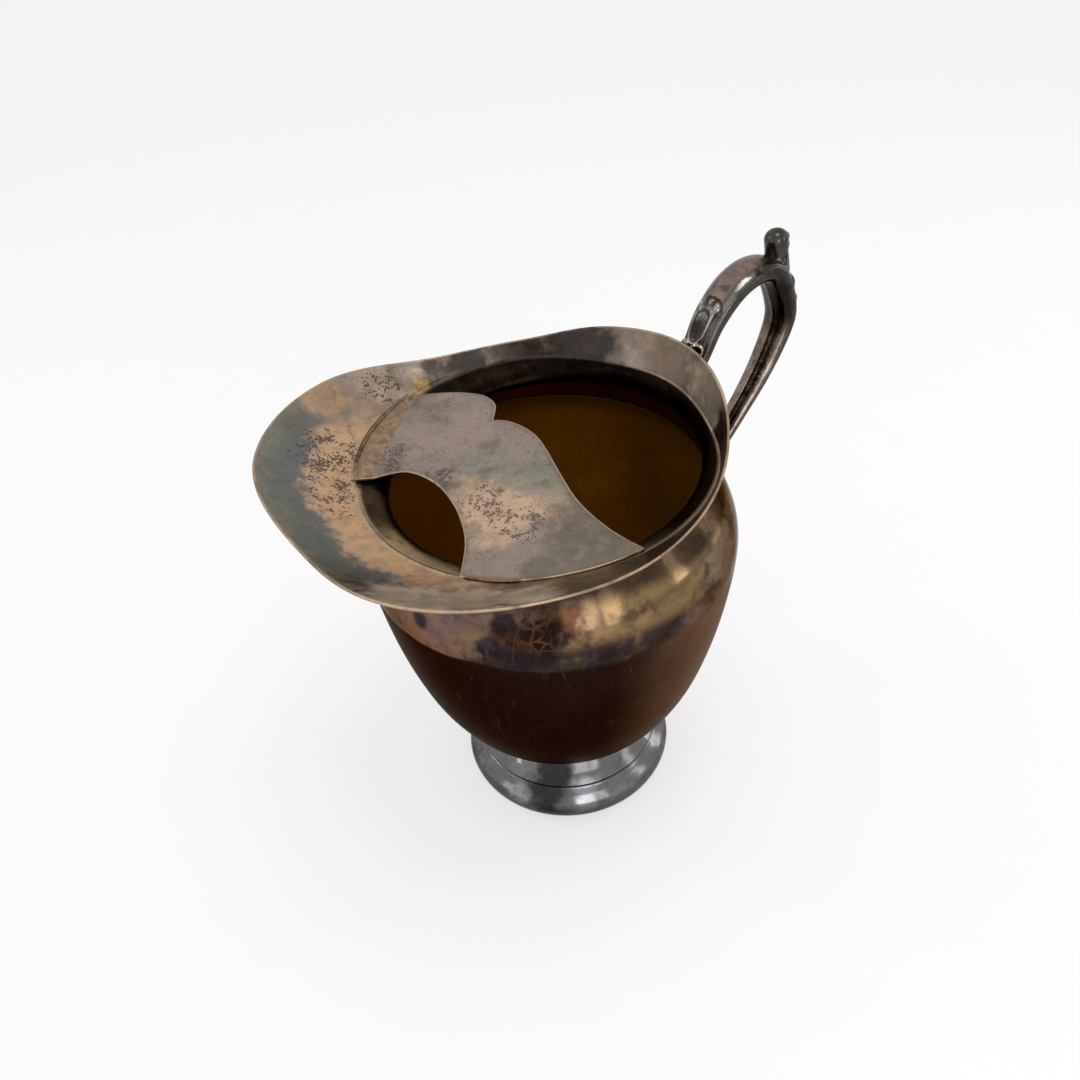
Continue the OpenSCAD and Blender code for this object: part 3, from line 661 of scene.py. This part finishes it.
def three_tone_group():
    """Three-tone film: cloudy patches of a warm and a deep film over a clean colour, with a fine mottle; it
    makes tarnish, and also painted light, shade and reflections.
    """
    tree, into, out = group("three_tone_film", {
        "Vector": None, "Scale": 20.0, "Clean": (1.0, 1.0, 1.0, 1.0), "Warm": (1.0, 1.0, 1.0, 1.0),
        "Deep": (1.0, 1.0, 1.0, 1.0), "Warm Level": 0.5, "Deep Level": 0.6,
    }, {"Color": "NodeSocketColor", "Film": "NodeSocketFloat"})
    wide = noise(tree, into["Vector"], into["Scale"], 7.0, 0.6)
    moved = put(tree, "VectorMath", {0: into["Vector"], 1: (3.1, 1.7, 2.3)}, operation="ADD").outputs[0]
    other = noise(tree, moved, calc(tree, "MULTIPLY", into["Scale"], 1.7), 8.0, 0.65)
    warm = around_level(tree, wide, into["Warm Level"], 0.09)
    deep = around_level(tree, other, into["Deep Level"], 0.07)
    fine = fade(tree, noise(tree, moved, 230.0, 7.0, 0.75), 0.48, 0.72, 0.0, 0.7)
    tone = blend(tree, warm, into["Clean"], into["Warm"])
    tone = blend(tree, calc(tree, "MAXIMUM", deep, fine), tone, into["Deep"])
    tree.links.new(tone, out["Color"])
    tree.links.new(calc(tree, "MAXIMUM", warm, deep), out["Film"])
    return tree


def speckle_group():
    """Dark speckle: grains of up to a millimetre, each of its own size, gathered in clusters in a zone."""
    tree, into, out = group("dark_speckle", {"Vector": None, "Zone": 1.0, "Grain": 950.0, "Amount": 0.5},
                            {"Mask": "NodeSocketFloat"})
    cells = put(tree, "TexVoronoi", {"Vector": into["Vector"], "Scale": into["Grain"]})
    size = put(tree, "SeparateColor", {"Color": cells.outputs["Color"]}).outputs["Red"]
    cluster = fade(tree, noise(tree, into["Vector"], 120.0, 4.0, 0.65), 0.36, 0.56)
    reach = times(tree, size, cluster, times(tree, into["Amount"], into["Zone"]))
    bent = cloud(tree, into["Vector"], 900.0, 2.0, 0.5)
    away = calc(tree, "MULTIPLY_ADD", bent, 0.5, cells.outputs["Distance"])
    tree.links.new(fade(tree, calc(tree, "SUBTRACT", reach, away), 0.0, 0.15), out["Mask"])
    return tree


def crackle_group():
    """Crackle: brown lines between dark cells, for a painted reflection on the shoulder."""
    tree, into, out = group("crackle_reflection", {"Vector": None, "Scale": 215.0}, {"Lines": "NodeSocketFloat"})
    bent = put(tree, "TexNoise", {"Vector": into["Vector"], "Scale": 90.0, "Detail": 2.0}).outputs["Color"]
    sockets = {0: bent, 1: (0.004, 0.004, 0.004), 2: into["Vector"]}
    moved = put(tree, "VectorMath", sockets, operation="MULTIPLY_ADD").outputs[0]
    sockets = {"Vector": moved, "Scale": into["Scale"]}
    cells = put(tree, "TexVoronoi", sockets, feature="DISTANCE_TO_EDGE")
    part = fade(tree, noise(tree, into["Vector"], 70.0, 3.0), 0.4, 0.6)
    line = fade(tree, cells.outputs["Distance"], 0.12, 0.04)
    tree.links.new(calc(tree, "MULTIPLY", line, part), out["Lines"])
    return tree


def spot_group():
    """Ragged spot: 1 near a centre, fading to 0 over its reach, with a cloudy border."""
    tree, into, out = group("ragged_spot", {"Vector": None, "Centre": None, "Reach": 0.02, "Ragged": 0.5},
                            {"Mask": "NodeSocketFloat"})
    away = put(tree, "VectorMath", {0: into["Vector"], 1: into["Centre"]}, operation="DISTANCE")
    share = calc(tree, "DIVIDE", away.outputs["Value"], into["Reach"])
    border = cloud(tree, into["Vector"], 90.0, 6.0, 0.65)
    share = calc(tree, "MULTIPLY_ADD", border, calc(tree, "MULTIPLY", into["Ragged"], 4.0), share)
    tree.links.new(fade(tree, share, 0.6, 1.25, 1.0, 0.0), out["Mask"])
    return tree


def scratch_group():
    """Hair scratches: thin streaks of stretched noise in two directions."""
    tree, into, out = group("hair_scratches", {"Vector": None, "Amount": 0.5}, {"Mask": "NodeSocketFloat"})
    masks = []
    for turn, stretch in SCRATCH_RUNS:
        sockets = {"Vector": into["Vector"], "Rotation": turn, "Scale": stretch}
        vector = put(tree, "Mapping", sockets).outputs[0]
        masks.append(fade(tree, noise(tree, vector, 1.0, 2.0, 0.5), 0.66, 0.74))
    both = calc(tree, "MAXIMUM", *masks)
    tree.links.new(calc(tree, "MULTIPLY", both, into["Amount"]), out["Mask"])
    return tree


def wear_group():
    """Edge wear: a broken line where an edge value passes a level."""
    tree, into, out = group("edge_wear", {"Vector": None, "Edge": 0.0, "Low": 0.6, "High": 1.0},
                            {"Mask": "NodeSocketFloat"})
    line = fade(tree, into["Edge"], into["Low"], into["High"])
    rub = fade(tree, noise(tree, into["Vector"], 140.0, 5.0, 0.6), 0.3, 0.6)
    tree.links.new(calc(tree, "MULTIPLY", line, rub), out["Mask"])
    return tree


THREE_TONE, SPECKLE, SPOT = three_tone_group(), speckle_group(), spot_group()
SCRATCH, WEAR, CRACKLE = scratch_group(), wear_group(), crackle_group()


def empty_tree(thing):
    """Node tree of a material or world, with nothing in it."""
    thing.use_nodes = True
    thing.node_tree.nodes.clear()
    return thing.node_tree


def start_metal(name):
    """New material; returns its tree, object coordinates and a function that finishes it."""
    material = bpy.data.materials.new(name)
    tree = empty_tree(material)
    where = put(tree, "TexCoord").outputs["Object"]

    def finish(color, rough, height, strength=0.2, metallic=1.0, edge_tint=EDGE_TINT):
        """Gives the surface its colour, roughness and bumps, and returns the material."""
        normal = put(tree, "Bump", {"Height": height, "Strength": strength, "Distance": 0.001}).outputs[0]
        shader = put(tree, "BsdfPrincipled", {"Base Color": color, "Roughness": rough, "Metallic": metallic,
                                              "Normal": normal, "Specular Tint": edge_tint})
        put(tree, "OutputMaterial", {"Surface": shader.outputs[0]})
        return material

    return tree, where, finish


def mark(tree, name):
    """Named value that a piece carries at its points."""
    return put(tree, "Attribute", attribute_name=name).outputs["Fac"]


def film(tree, where, scale, clean, warm, deep, warm_level=0.5, deep_level=0.58):
    """Film of three colours, for tarnish and for painted light, shade and reflections; gives its colour and
    where the film is.
    """
    return use(tree, THREE_TONE, {"Vector": where, "Scale": scale, "Clean": srgb(*clean), "Warm": srgb(*warm),
                               "Deep": srgb(*deep), "Warm Level": warm_level, "Deep Level": deep_level})


def spot(tree, where, centre, reach, ragged=0.5):
    """Mask of a ragged spot at a place of the frame, in millimetres."""
    middle = tuple(v * MM for v in centre)
    return use(tree, SPOT, {"Vector": where, "Centre": middle, "Reach": reach * MM, "Ragged": ragged})[0]


def spots(tree, where, *places):
    """Mask of several ragged spots, each as (centre, reach)."""
    mask = spot(tree, where, *places[0])
    for centre, reach in places[1:]:
        mask = calc(tree, "MAXIMUM", mask, spot(tree, where, centre, reach))
    return mask


def ramp(tree, value, *stops):
    """Colour ramp through (position, colour) stops."""
    made = put(tree, "ValToRGB", {"Fac": value})
    made.color_ramp.elements.remove(made.color_ramp.elements[1])
    made.color_ramp.elements[0].position = stops[0][0]
    made.color_ramp.elements[0].color = srgb(*stops[0][1])
    for position, color in stops[1:]:
        made.color_ramp.elements.new(position).color = srgb(*color)
    return made.outputs["Color"]


def coat(tree, tone, mask, share, color):
    """A tone with a share of another colour over it where a mask is."""
    return blend(tree, times(tree, mask, share), tone, color)


def stains_and_painted_light(tree, where, tone, share, layer, *places):
    """A tone with a share of a film over it in ragged spots, each as (centre, reach); it lays real stains,
    and also painted light, shade and reflections.
    """
    return coat(tree, tone, spots(tree, where, *places), share, layer["Color"])


def speckle(tree, where, zone, amount):
    """Mask of dark speckle in a zone."""
    return use(tree, SPECKLE, {"Vector": where, "Zone": zone, "Amount": amount})[0]


def scratches(tree, where, amount):
    """Mask of hair scratches."""
    return use(tree, SCRATCH, {"Vector": where, "Amount": amount})[0]


def film_rough(tree, where, base, amount, low, high):
    """Roughness that goes from low to high with the film and the hair scratches."""
    return fade(tree, calc(tree, "ADD", base["Film"], scratches(tree, where, amount)), 0.0, 1.5, low, high)


def wear(tree, where, edge, low, high):
    """Mask of a worn edge, where an edge value goes from low to high."""
    return use(tree, WEAR, {"Vector": where, "Edge": edge, "Low": low, "High": high})[0]


def spout_tone(tree, where, x, rise, base):
    """Colour of the spout: bands from tan by the bend to blue-grey by the edge, with ragged borders."""
    broad, grain = cloud(tree, where, 36.0, 8.0, 0.62), cloud(tree, where, 170.0, 9.0, 0.7)
    level = calc(tree, "MULTIPLY_ADD", grain, 0.7, calc(tree, "MULTIPLY_ADD", broad, 0.75, rise))
    tone = coat(tree, base["Color"], fade(tree, x, 0.03, 0.07), 0.92, ramp(tree, level, *LIP_BANDS))
    mottled = film(tree, where, 130.0, (150, 140, 120), (116, 106, 98), (82, 80, 78), 0.54, 0.58)
    tone = coat(tree, tone, mottled["Film"], 0.32, mottled["Color"])
    tan = film(tree, where, 120.0, (188, 156, 124), (174, 142, 114), (150, 126, 106))
    tone = stains_and_painted_light(tree, where, tone, 0.85, tan,
                 ((60, -60, 187), 15), ((72, -34, 184), 12), ((56, -84, 195), 12))
    tone = coat(tree, tone, speckle(tree, where, 1.0, 0.5), 0.45, srgb(92, 82, 74))
    brown = spots(tree, where, ((52, -82, 193), 12), ((40, -76, 188), 8), ((72, -74, 196), 9))
    return coat(tree, tone, brown, 0.3, srgb(104, 88, 72))


def neck_tone(tree, where, x, y, rise):
    """Colour inside the neck, painted shade and light: nearly black painted shade at the back, painted light
    by the spout, and brighter painted light on its near side by the bend.
    """
    # Painted shade: nearly black deep in the back of the neck
    dark = film(tree, where, 90.0, (16, 10, 6), (25, 18, 12), (11, 6, 4))
    # Painted light by the spout, and brighter painted light by the bend on the near side
    lit = film(tree, where, 90.0, (52, 42, 33), (66, 54, 42), (40, 31, 24))
    painted_light_film = film(tree, where, 110.0, (152, 127, 98), (134, 116, 94), (112, 94, 72))
    front = times(tree, fade(tree, rise, -0.65, -0.3), fade(tree, y, -0.014, 0.006))
    lit = blend(tree, front, lit["Color"], painted_light_film["Color"])
    return blend(tree, fade(tree, x, -0.01, 0.05), dark["Color"], lit)


def lip_metal():
    """Tarnished silver of the collar: banded spout, browner sides, painted dark reflections and rubbed
    patches towards the back, a little yellow solder spilt at the guard's far end, painted shade and painted
    light inside the neck, and olive-brown at the foot of the neck."""
    tree, where, finish = start_metal("lip_tarnished_silver")
    rise, outer = mark(tree, "rise"), mark(tree, "outer")
    x, y, _ = put(tree, "SeparateXYZ", {0: where}).outputs
    base = film(tree, where, 26.0, (156, 136, 122), (174, 146, 118), (132, 114, 102))
    tone = spout_tone(tree, where, x, rise, base)
    near = film(tree, where, 50.0, (116, 101, 86), (134, 118, 96), (94, 82, 70))
    tone = coat(tree, tone, fade(tree, y, 0.03, 0.07), 0.75, near["Color"])
    pale = film(tree, where, 90.0, (186, 168, 148), (164, 154, 138), (202, 180, 152))
    worn = spots(tree, where, ((82, 60, 192), 22), ((62, 72, 190), 14), ((94, 46, 192), 16))
    tone = coat(tree, tone, worn, 0.85, pale["Color"])
    rear = film(tree, where, 40.0, (124, 109, 98), (106, 92, 82), (138, 121, 108))
    tone = coat(tree, tone, fade(tree, x, 0.02, -0.04), 0.85, rear["Color"])
    # Painted dark reflections on the back of the lip and beside the guard's far end
    slate = film(tree, where, 90.0, (48, 47, 48), (60, 54, 50), (36, 33, 32))
    tone = stains_and_painted_light(tree, where, tone, 0.9, slate,
                 ((-12, -74, 187), 15), ((-32, -66, 190), 20), ((-54, -46, 194), 20), ((2, -79, 187), 10))
    lightened = spots(tree, where, ((-62, 30, 196), 17))
    tone = coat(tree, tone, lightened, 0.8, pale["Color"])
    # Painted darker reflection: a dull grey patch at the guard's far end
    dull = film(tree, where, 110.0, (116, 107, 95), (102, 93, 82), (86, 77, 68))
    tone = stains_and_painted_light(tree, where, tone, 0.8, dull, ((15, -85, 190), 9))
    spilt = film(tree, where, 220.0, (152, 124, 74), (126, 100, 60), (80, 61, 40))
    tone = coat(tree, tone, spot(tree, where, (11, -79, 186), 4, 1.0), 0.8, spilt["Color"])
    zone = spots(tree, where, ((70, -52, 185), 21), ((27, -84, 189), 9), ((79, -34, 184), 14))
    tone = coat(tree, tone, speckle(tree, where, zone, 1.15), 0.8, srgb(66, 58, 54))
    # Painted shade and painted light inside the neck, below the bend
    tone = blend(tree, fade(tree, rise, -0.01, -0.12), tone, neck_tone(tree, where, x, y, rise))
    tone = blend(tree, fade(tree, rise, -0.9, -1.3), tone, srgb(96, 60, 8))
    outside = film(tree, where, 60.0, (108, 95, 85), (120, 103, 88), (78, 67, 60), 0.5, 0.56)
    tone = coat(tree, tone, fade(tree, outer, 0.6, 0.9), 0.95, outside["Color"])
    tone = coat(tree, tone, wear(tree, where, rise, 0.99, 1.0), 0.55, srgb(190, 156, 124))
    rough = film_rough(tree, where, base, 0.5, 0.26, 0.46)
    rough = calc(tree, "MULTIPLY_ADD", calc(tree, "MAXIMUM", worn, lightened), 0.16, rough)
    return finish(tone, rough, noise(tree, where, 60.0, 3.0), 0.3, edge_tint=LIP_TINT)


def guard_metal():
    """Tarnished silver of the guard: mauve-grey, tan by the pour hole, a greenish band and dark speckle."""
    tree, where, finish = start_metal("guard_tarnished_silver")
    edge, flange = mark(tree, "edge"), mark(tree, "flange")
    base = film(tree, where, 34.0, (151, 134, 122), (141, 128, 118), (120, 108, 99))
    tan = film(tree, where, 60.0, (194, 164, 138), (184, 156, 131), (154, 133, 111))
    tone = stains_and_painted_light(tree, where, base["Color"], 1.0, tan, ((35, 16, 183), 22))
    green = film(tree, where, 80.0, (142, 134, 118), (126, 126, 114), (104, 102, 92))
    tone = stains_and_painted_light(tree, where, tone, 0.85, green, ((12, 10, 185), 17), ((20, -8, 184), 12))
    end = film(tree, where, 90.0, (108, 98, 86), (92, 85, 74), (126, 114, 99))
    tone = stains_and_painted_light(tree, where, tone, 0.8, end, ((20, 58, 184), 20), ((45, 58, 182), 9))
    zone = spots(tree, where,
                 ((46, -14, 182), 12), ((39, 10, 182), 11), ((35, 30, 183), 13), ((48, -42, 183), 10))
    tone = coat(tree, tone, speckle(tree, where, zone, 1.15), 0.75, srgb(82, 71, 68))
    # Painted light: the far flange, tilted up towards the light, painted golden brown
    painted_light_film = film(tree, where, 160.0, (158, 128, 98), (128, 103, 80), (96, 77, 60))
    tone = coat(tree, tone, fade(tree, flange, 0.0, 0.2), 0.8, painted_light_film["Color"])
    tone = coat(tree, tone, speckle(tree, where, 1.0, 0.6), 0.55, srgb(100, 90, 83))
    tone = coat(tree, tone, wear(tree, where, edge, 3.2, 0.2), 0.6, srgb(104, 90, 78))
    tone = coat(tree, tone, wear(tree, where, edge, 0.4, 0.05), 0.6, srgb(196, 172, 148))
    rough = film_rough(tree, where, base, 0.6, 0.28, 0.46)
    return finish(tone, rough, noise(tree, where, 50.0, 3.0), 0.35)


def shoulder_tone(tree, where):
    """Colour of the shoulder: brown silver with painted reflections as gold, umber, copper and inky patches,
    and one crackled patch of painted reflection.
    """
    base = film(tree, where, 26.0, (116, 93, 80), (134, 106, 78), (74, 56, 48), 0.52, 0.55)
    gold = film(tree, where, 50.0, (122, 100, 70), (136, 111, 78), (98, 80, 58))
    tone = stains_and_painted_light(tree, where, base["Color"], 1.0, gold, ((12, 75, 157), 18), ((-6, 74, 159), 13))
    right = film(tree, where, 45.0, (118, 101, 85), (134, 113, 92), (76, 66, 58), 0.5, 0.53)
    tone = stains_and_painted_light(tree, where, tone, 0.9, right, ((-48, 62, 152), 32), ((-30, 68, 150), 16))
    umber = film(tree, where, 80.0, (44, 27, 20), (78, 47, 30), (26, 18, 18))
    tone = stains_and_painted_light(tree, where, tone, 0.9, umber, ((43, 62, 160), 11), ((55, 57, 149), 13))
    copper = film(tree, where, 70.0, (136, 100, 80), (114, 90, 84), (86, 77, 86))
    tone = stains_and_painted_light(tree, where, tone, 0.9, copper, ((76, 22, 147), 22))
    inky = film(tree, where, 120.0, (38, 36, 46), (30, 24, 26), (62, 50, 48))
    tone = stains_and_painted_light(tree, where, tone, 0.85, inky,
                 ((77, 19, 149), 4), ((58, 50, 158), 5), ((65, 46, 147), 5))
    lines = use(tree, CRACKLE, {"Vector": where})["Lines"]
    cells = film(tree, where, 60.0, (28, 20, 20), (58, 33, 23), (22, 17, 18), 0.54)
    crackled = coat(tree, cells["Color"], lines, 0.55, srgb(104, 72, 46))
    return coat(tree, tone, spots(tree, where, ((49, 60, 154), 10)), 0.92, crackled)


def belly_tone(tree, where, x, y):
    """Colour below the belly's widest place: deep red-brown, partly tarnish and partly a painted dark
    reflection, with painted light on the near side by the handle.
    """
    deep = film(tree, where, 12.0, (37, 23, 20), (30, 18, 16), (46, 31, 26), 0.5, 0.62)
    brown = film(tree, where, 40.0, (122, 95, 79), (130, 103, 87), (104, 80, 67), 0.5, 0.62)
    # Painted light on the near side by the handle
    lighter = times(tree, fade(tree, x, 0.03, -0.03), fade(tree, y, 0.03, 0.07))
    return coat(tree, deep["Color"], lighter, 0.85, brown["Color"])


def bowl_inside_tone(tree, where, x, z):
    """Colour inside the bowl: olive-brown, with painted shade under the neck and at the back."""
    base = film(tree, where, 14.0, (150, 96, 8), (138, 88, 6), (162, 106, 14))
    tone = blend(tree, fade(tree, z, 0.15, 0.172), base["Color"], srgb(84, 52, 6))
    return coat(tree, tone, fade(tree, x, -0.06, -0.08), 0.6, srgb(60, 34, 4))


def bowl_metal():
    """Bowl: bright shoulder of painted reflections, with a painted dark reflection band at its lower edge and
    painted shade under the collar, deep red-brown below, partly tarnish and partly painted dark reflection,
    olive-brown inside."""
    tree, where, finish = start_metal("bowl_silver_painted_reflections")
    x, y, z = put(tree, "SeparateXYZ", {0: where}).outputs
    outer = mark(tree, "outer")
    level = calc(tree, "MULTIPLY_ADD", cloud(tree, where, 16.0, 3.0, 0.5), 0.012, z)
    # Painted dark reflection: a dark navy band along the shoulder's lower edge at the front
    dark_band_film = film(tree, where, 70.0, (36, 31, 36), (29, 25, 28), (60, 54, 60))
    front = spots(tree, where, ((54, 59, 143), 28), ((30, 74, 143), 17), ((8, 80, 142), 14))
    dark_band_mask = times(tree, fade(tree, level, 0.150, 0.144), front)
    tone = coat(tree, shoulder_tone(tree, where), dark_band_mask, 0.86, dark_band_film["Color"])
    # Painted shade under the collar
    dark_film = film(tree, where, 90.0, (50, 40, 32), (62, 50, 39), (38, 30, 25))
    tone = coat(tree, tone, fade(tree, level, 0.1585, 0.164), 0.9, dark_film["Color"])
    soft = fade(tree, x, 0.06, 0.0)
    # Sharp line where the painted dark reflection of the belly begins
    upper = fade(tree, level, calc(tree, "MULTIPLY_ADD", soft, -0.002, 0.1355),
                 calc(tree, "MULTIPLY_ADD", soft, 0.003, 0.137))
    tone = blend(tree, upper, belly_tone(tree, where, x, y), tone)
    hair = scratches(tree, where, 0.7)
    tone = coat(tree, tone, hair, 0.25, srgb(112, 90, 76))
    tone = blend(tree, outer, bowl_inside_tone(tree, where, x, z), tone)
    satin = fade(tree, level, 0.1355, 0.1375, 0.42, 0.13)
    rough = calc(tree, "MULTIPLY_ADD", hair, 0.12, blend_value(tree, outer, 0.5, satin))
    metallic = fade(tree, outer, 0.0, 1.0, 0.3, 1.0)
    return finish(tone, rough, noise(tree, where, 45.0, 3.0), 0.25, metallic, BOWL_TINT)


def foot_metal():
    """Foot: polished silver with a thin grey film, a painted dark reflection at the front, painted highlights
    as bright spots, and a brown edge.
    """
    tree, where, finish = start_metal("foot_polished_silver")
    _, _, z = put(tree, "SeparateXYZ", {0: where}).outputs
    base = film(tree, where, 40.0, (118, 116, 115), (102, 101, 102), (80, 76, 74), 0.5, 0.6)
    # Painted dark reflection at the front of the foot
    shade = film(tree, where, 60.0, (44, 41, 45), (36, 33, 35), (62, 58, 60))
    tone = stains_and_painted_light(tree, where, base["Color"], 0.9, shade,
                 ((35, 27, 15), 11), ((28, 26, 23), 9), ((36, 32, 6), 10))
    # Painted highlights: bright spots on the foot
    bright = film(tree, where, 60.0, (148, 148, 152), (134, 134, 138), (114, 110, 108))
    tone = stains_and_painted_light(tree, where, tone, 0.9, bright, ((20, 39, 19), 6), ((23, 44, 12), 6), ((45, 20, 14), 6))
    tone = coat(tree, tone, fade(tree, z, 0.013, 0.003), 0.85, srgb(48, 38, 34))
    rough = film_rough(tree, where, base, 0.5, 0.07, 0.2)
    return finish(tone, rough, noise(tree, where, 60.0, 3.0), 0.15)


def handle_metal():
    """Handle: glossy dark cast silver, a pinkish matt film on its face, painted shade behind it, a paler
    painted reflection behind the lower limb, grime in the relief, and painted highlights on the corners and
    on the relief's tops.
    """
    tree, where, finish = start_metal("handle_cast_silver")
    face, relief = mark(tree, "face"), mark(tree, "relief")
    base = film(tree, where, 60.0, (74, 70, 66), (60, 56, 53), (46, 41, 39), 0.52, 0.58)
    pink = film(tree, where, 90.0, (138, 118, 108), (120, 102, 94), (92, 80, 75), 0.52, 0.58)
    tone = coat(tree, base["Color"], face, 0.85, pink["Color"])
    # Painted shade on the back of the handle
    tone = coat(tree, tone, mark(tree, "inner"), 0.9, srgb(34, 26, 22))
    # Painted reflection: the back of the lower limb painted paler
    limb = film(tree, where, 90.0, (150, 134, 124), (126, 110, 102), (92, 80, 74))
    tone = coat(tree, tone, mark(tree, "limb"), 0.8, limb["Color"])
    tone = coat(tree, tone, mark(tree, "ridge"), 0.6, srgb(104, 92, 80))
    hollow = times(tree, fade(tree, relief, 0.5, 0.15), fade(tree, relief, 0.02, 0.08))
    tone = coat(tree, tone, hollow, 0.7, srgb(44, 39, 37))
    # Painted highlights on the relief's tops and along the upper corners
    high = fade(tree, relief, 0.7, 1.1, 0.0, 0.6)
    bright = calc(tree, "MAXIMUM", times(tree, mark(tree, "lightened"), 0.75), high)
    streak = fade(tree, noise(tree, where, 55.0, 5.0), 0.36, 0.56)
    tone = coat(tree, tone, bright, streak, srgb(176, 172, 165))
    rough = calc(tree, "MULTIPLY_ADD", face, 0.2, fade(tree, base["Film"], 0.0, 1.0, 0.1, 0.2))
    return finish(tone, rough, noise(tree, where, 130.0, 4.0), 0.3)


def solder_metal(name, clean, warm, deep):
    """Solder: dull metal with a fine grain."""
    tree, where, finish = start_metal(name)
    base = film(tree, where, 120.0, clean, warm, deep)
    rough = fade(tree, base["Film"], 0.0, 1.0, 0.25, 0.45)
    return finish(base["Color"], rough, noise(tree, where, 400.0, 3.0), 0.3)


def make_object():
    """Builds each piece, gives it its metal and puts it in the place of its CAD node."""
    lip, plate, silver, foot, cast = lip_metal(), guard_metal(), bowl_metal(), foot_metal(), handle_metal()
    solder = solder_metal("solder_line", (128, 110, 86), (106, 88, 66), (78, 63, 50))
    dark_solder = solder_metal("solder_under_grime", (46, 34, 22), (60, 40, 14), (34, 24, 16))
    place(bowl_wall(), silver, "bowl", "body_shell")
    place(collar(), lip, "lip", "spout_collar")
    place(guard(), plate, "lip", "ice_guard")
    place(foot_piece("foot_ring", MOULDING_KEYS, moulding_inner, FOOT_BEAD_H), foot, "foot", "foot_moulding")
    place(foot_piece("foot_stem", PEDESTAL_KEYS, pedestal_inner, 0.0), foot, "foot", "foot_pedestal")
    place(handle(), cast, "handle", "handle_bow")
    place(leaf("upper_leaf_relief", *UPPER_LEAF, upper_relief), cast, "handle", "upper_leaf")
    place(leaf("back_leaf_relief", *BACK_LEAF, back_relief), cast, "handle", "back_leaf")
    place(thumb_scroll(), cast, "handle", "thumb_rest")
    place(pad("upper_foot_of_handle", 0), cast, "handle", "upper_pad")
    place(pad("lower_foot_of_handle", 1), cast, "handle", "lower_pad")
    place(solder_bead("far_solder_bead", *FAR_SOLDER), solder, "solder", "guard_solder_far")
    place(solder_bead("near_solder_bead", *NEAR_SOLDER), solder, "solder", "guard_solder_near")
    seams = {"neck_solder": dark_solder, "foot_solder": foot, "upper_handle_solder": dark_solder,
             "lower_handle_solder": dark_solder}
    for name, metal in seams.items():
        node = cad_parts[name]
        node.data.materials.clear()
        node.data.materials.append(metal)


# Studio
def lamp(name, azimuth, elevation, away, size, bright, tint=(1, 1, 1)):
    """Soft rectangular lamp aimed at the object from an azimuth and elevation in degrees."""
    a, e = np.radians([azimuth, elevation])
    at = LAMP_AIM + away * Vector((np.cos(a) * np.cos(e), np.sin(a) * np.cos(e), np.sin(e)))
    light = bpy.data.lights.new(name, "AREA")
    light.shape = "RECTANGLE"
    light.size, light.size_y = size
    light.energy = bright * np.pi * size[0] * size[1]
    light.color = tint
    made = bpy.data.objects.new(name, light)
    made.location = at
    made.rotation_euler = (LAMP_AIM - at).to_track_quat("-Z", "Y").to_euler()
    bpy.context.scene.collection.objects.link(made)


def floor_paper():
    """White paper that glows a little for the camera."""
    material = bpy.data.materials.new("floor_paper")
    tree = empty_tree(material)
    grain = noise(tree, put(tree, "TexCoord").outputs["Object"], 30.0)
    paper = blend(tree, grain, (0.9, 0.9, 0.9, 1), (0.93, 0.93, 0.93, 1))
    shader = put(tree, "BsdfPrincipled", {"Base Color": paper, "Roughness": 0.9, "Specular IOR Level": 0.1})
    white = put(tree, "Emission", {"Color": (1, 1, 1, 1), "Strength": 1.0})
    pale = calc(tree, "MULTIPLY", put(tree, "LightPath").outputs["Is Camera Ray"], FLOOR_WHITE)
    seen = put(tree, "MixShader", {0: pale, 1: shader.outputs[0], 2: white.outputs[0]})
    put(tree, "OutputMaterial", {"Surface": seen.outputs[0]})
    return material


def room_light():
    """White world that lights the object less brightly than it shows."""
    world = bpy.data.worlds.new("studio")
    bpy.context.scene.world = world
    tree = empty_tree(world)
    path = put(tree, "LightPath").outputs
    seen = calc(tree, "MAXIMUM", path["Is Camera Ray"], path["Is Glossy Ray"])
    seen = calc(tree, "MAXIMUM", seen, path["Is Transmission Ray"])
    lit = put(tree, "Background", {"Color": (1, 1, 1, 1), "Strength": WORLD_LIGHT})
    shown = put(tree, "Background", {"Color": (1, 1, 1, 1), "Strength": 1.0})
    both = put(tree, "MixShader", {0: seen, 1: lit.outputs[0], 2: shown.outputs[0]})
    put(tree, "OutputWorld", {"Surface": both.outputs[0]})


def studio():
    """Pale floor and world, and soft lamps."""
    scene = bpy.context.scene
    scene.view_settings.view_transform = "Standard"
    side = FLOOR_REACH
    corners = [(-side, -side, 0), (side, -side, 0), (side, side, 0), (-side, side, 0)]
    mesh = bpy.data.meshes.new("floor")
    mesh.from_pydata(corners, [], [(0, 1, 2, 3)])
    mesh.materials.append(floor_paper())
    floor = bpy.data.objects.new("floor", mesh)
    scene.collection.objects.link(floor)
    room_light()
    for settings in LAMPS:
        lamp(*settings)


def photo_camera():
    """Camera at the photograph's viewing angle."""
    ahead = (CAMERA_AIM - CAMERA_EYE).normalized()
    right = ahead.cross(Vector((0, 0, 1))).normalized()
    up = right.cross(ahead)
    turned = right * np.cos(CAMERA_ROLL) + up * np.sin(CAMERA_ROLL)
    above = up * np.cos(CAMERA_ROLL) - right * np.sin(CAMERA_ROLL)
    axes = Matrix((turned, above, -ahead)).transposed()
    data = bpy.data.cameras.new("photo_camera")
    data.sensor_width = CAMERA_SENSOR
    data.lens = CAMERA_LENS
    data.clip_start = 0.01
    camera = bpy.data.objects.new("photo_camera", data)
    camera.matrix_world = Matrix.Translation(CAMERA_EYE) @ axes.to_4x4()
    bpy.context.scene.collection.objects.link(camera)
    bpy.context.scene.camera = camera


photo_camera()
make_object()
studio()
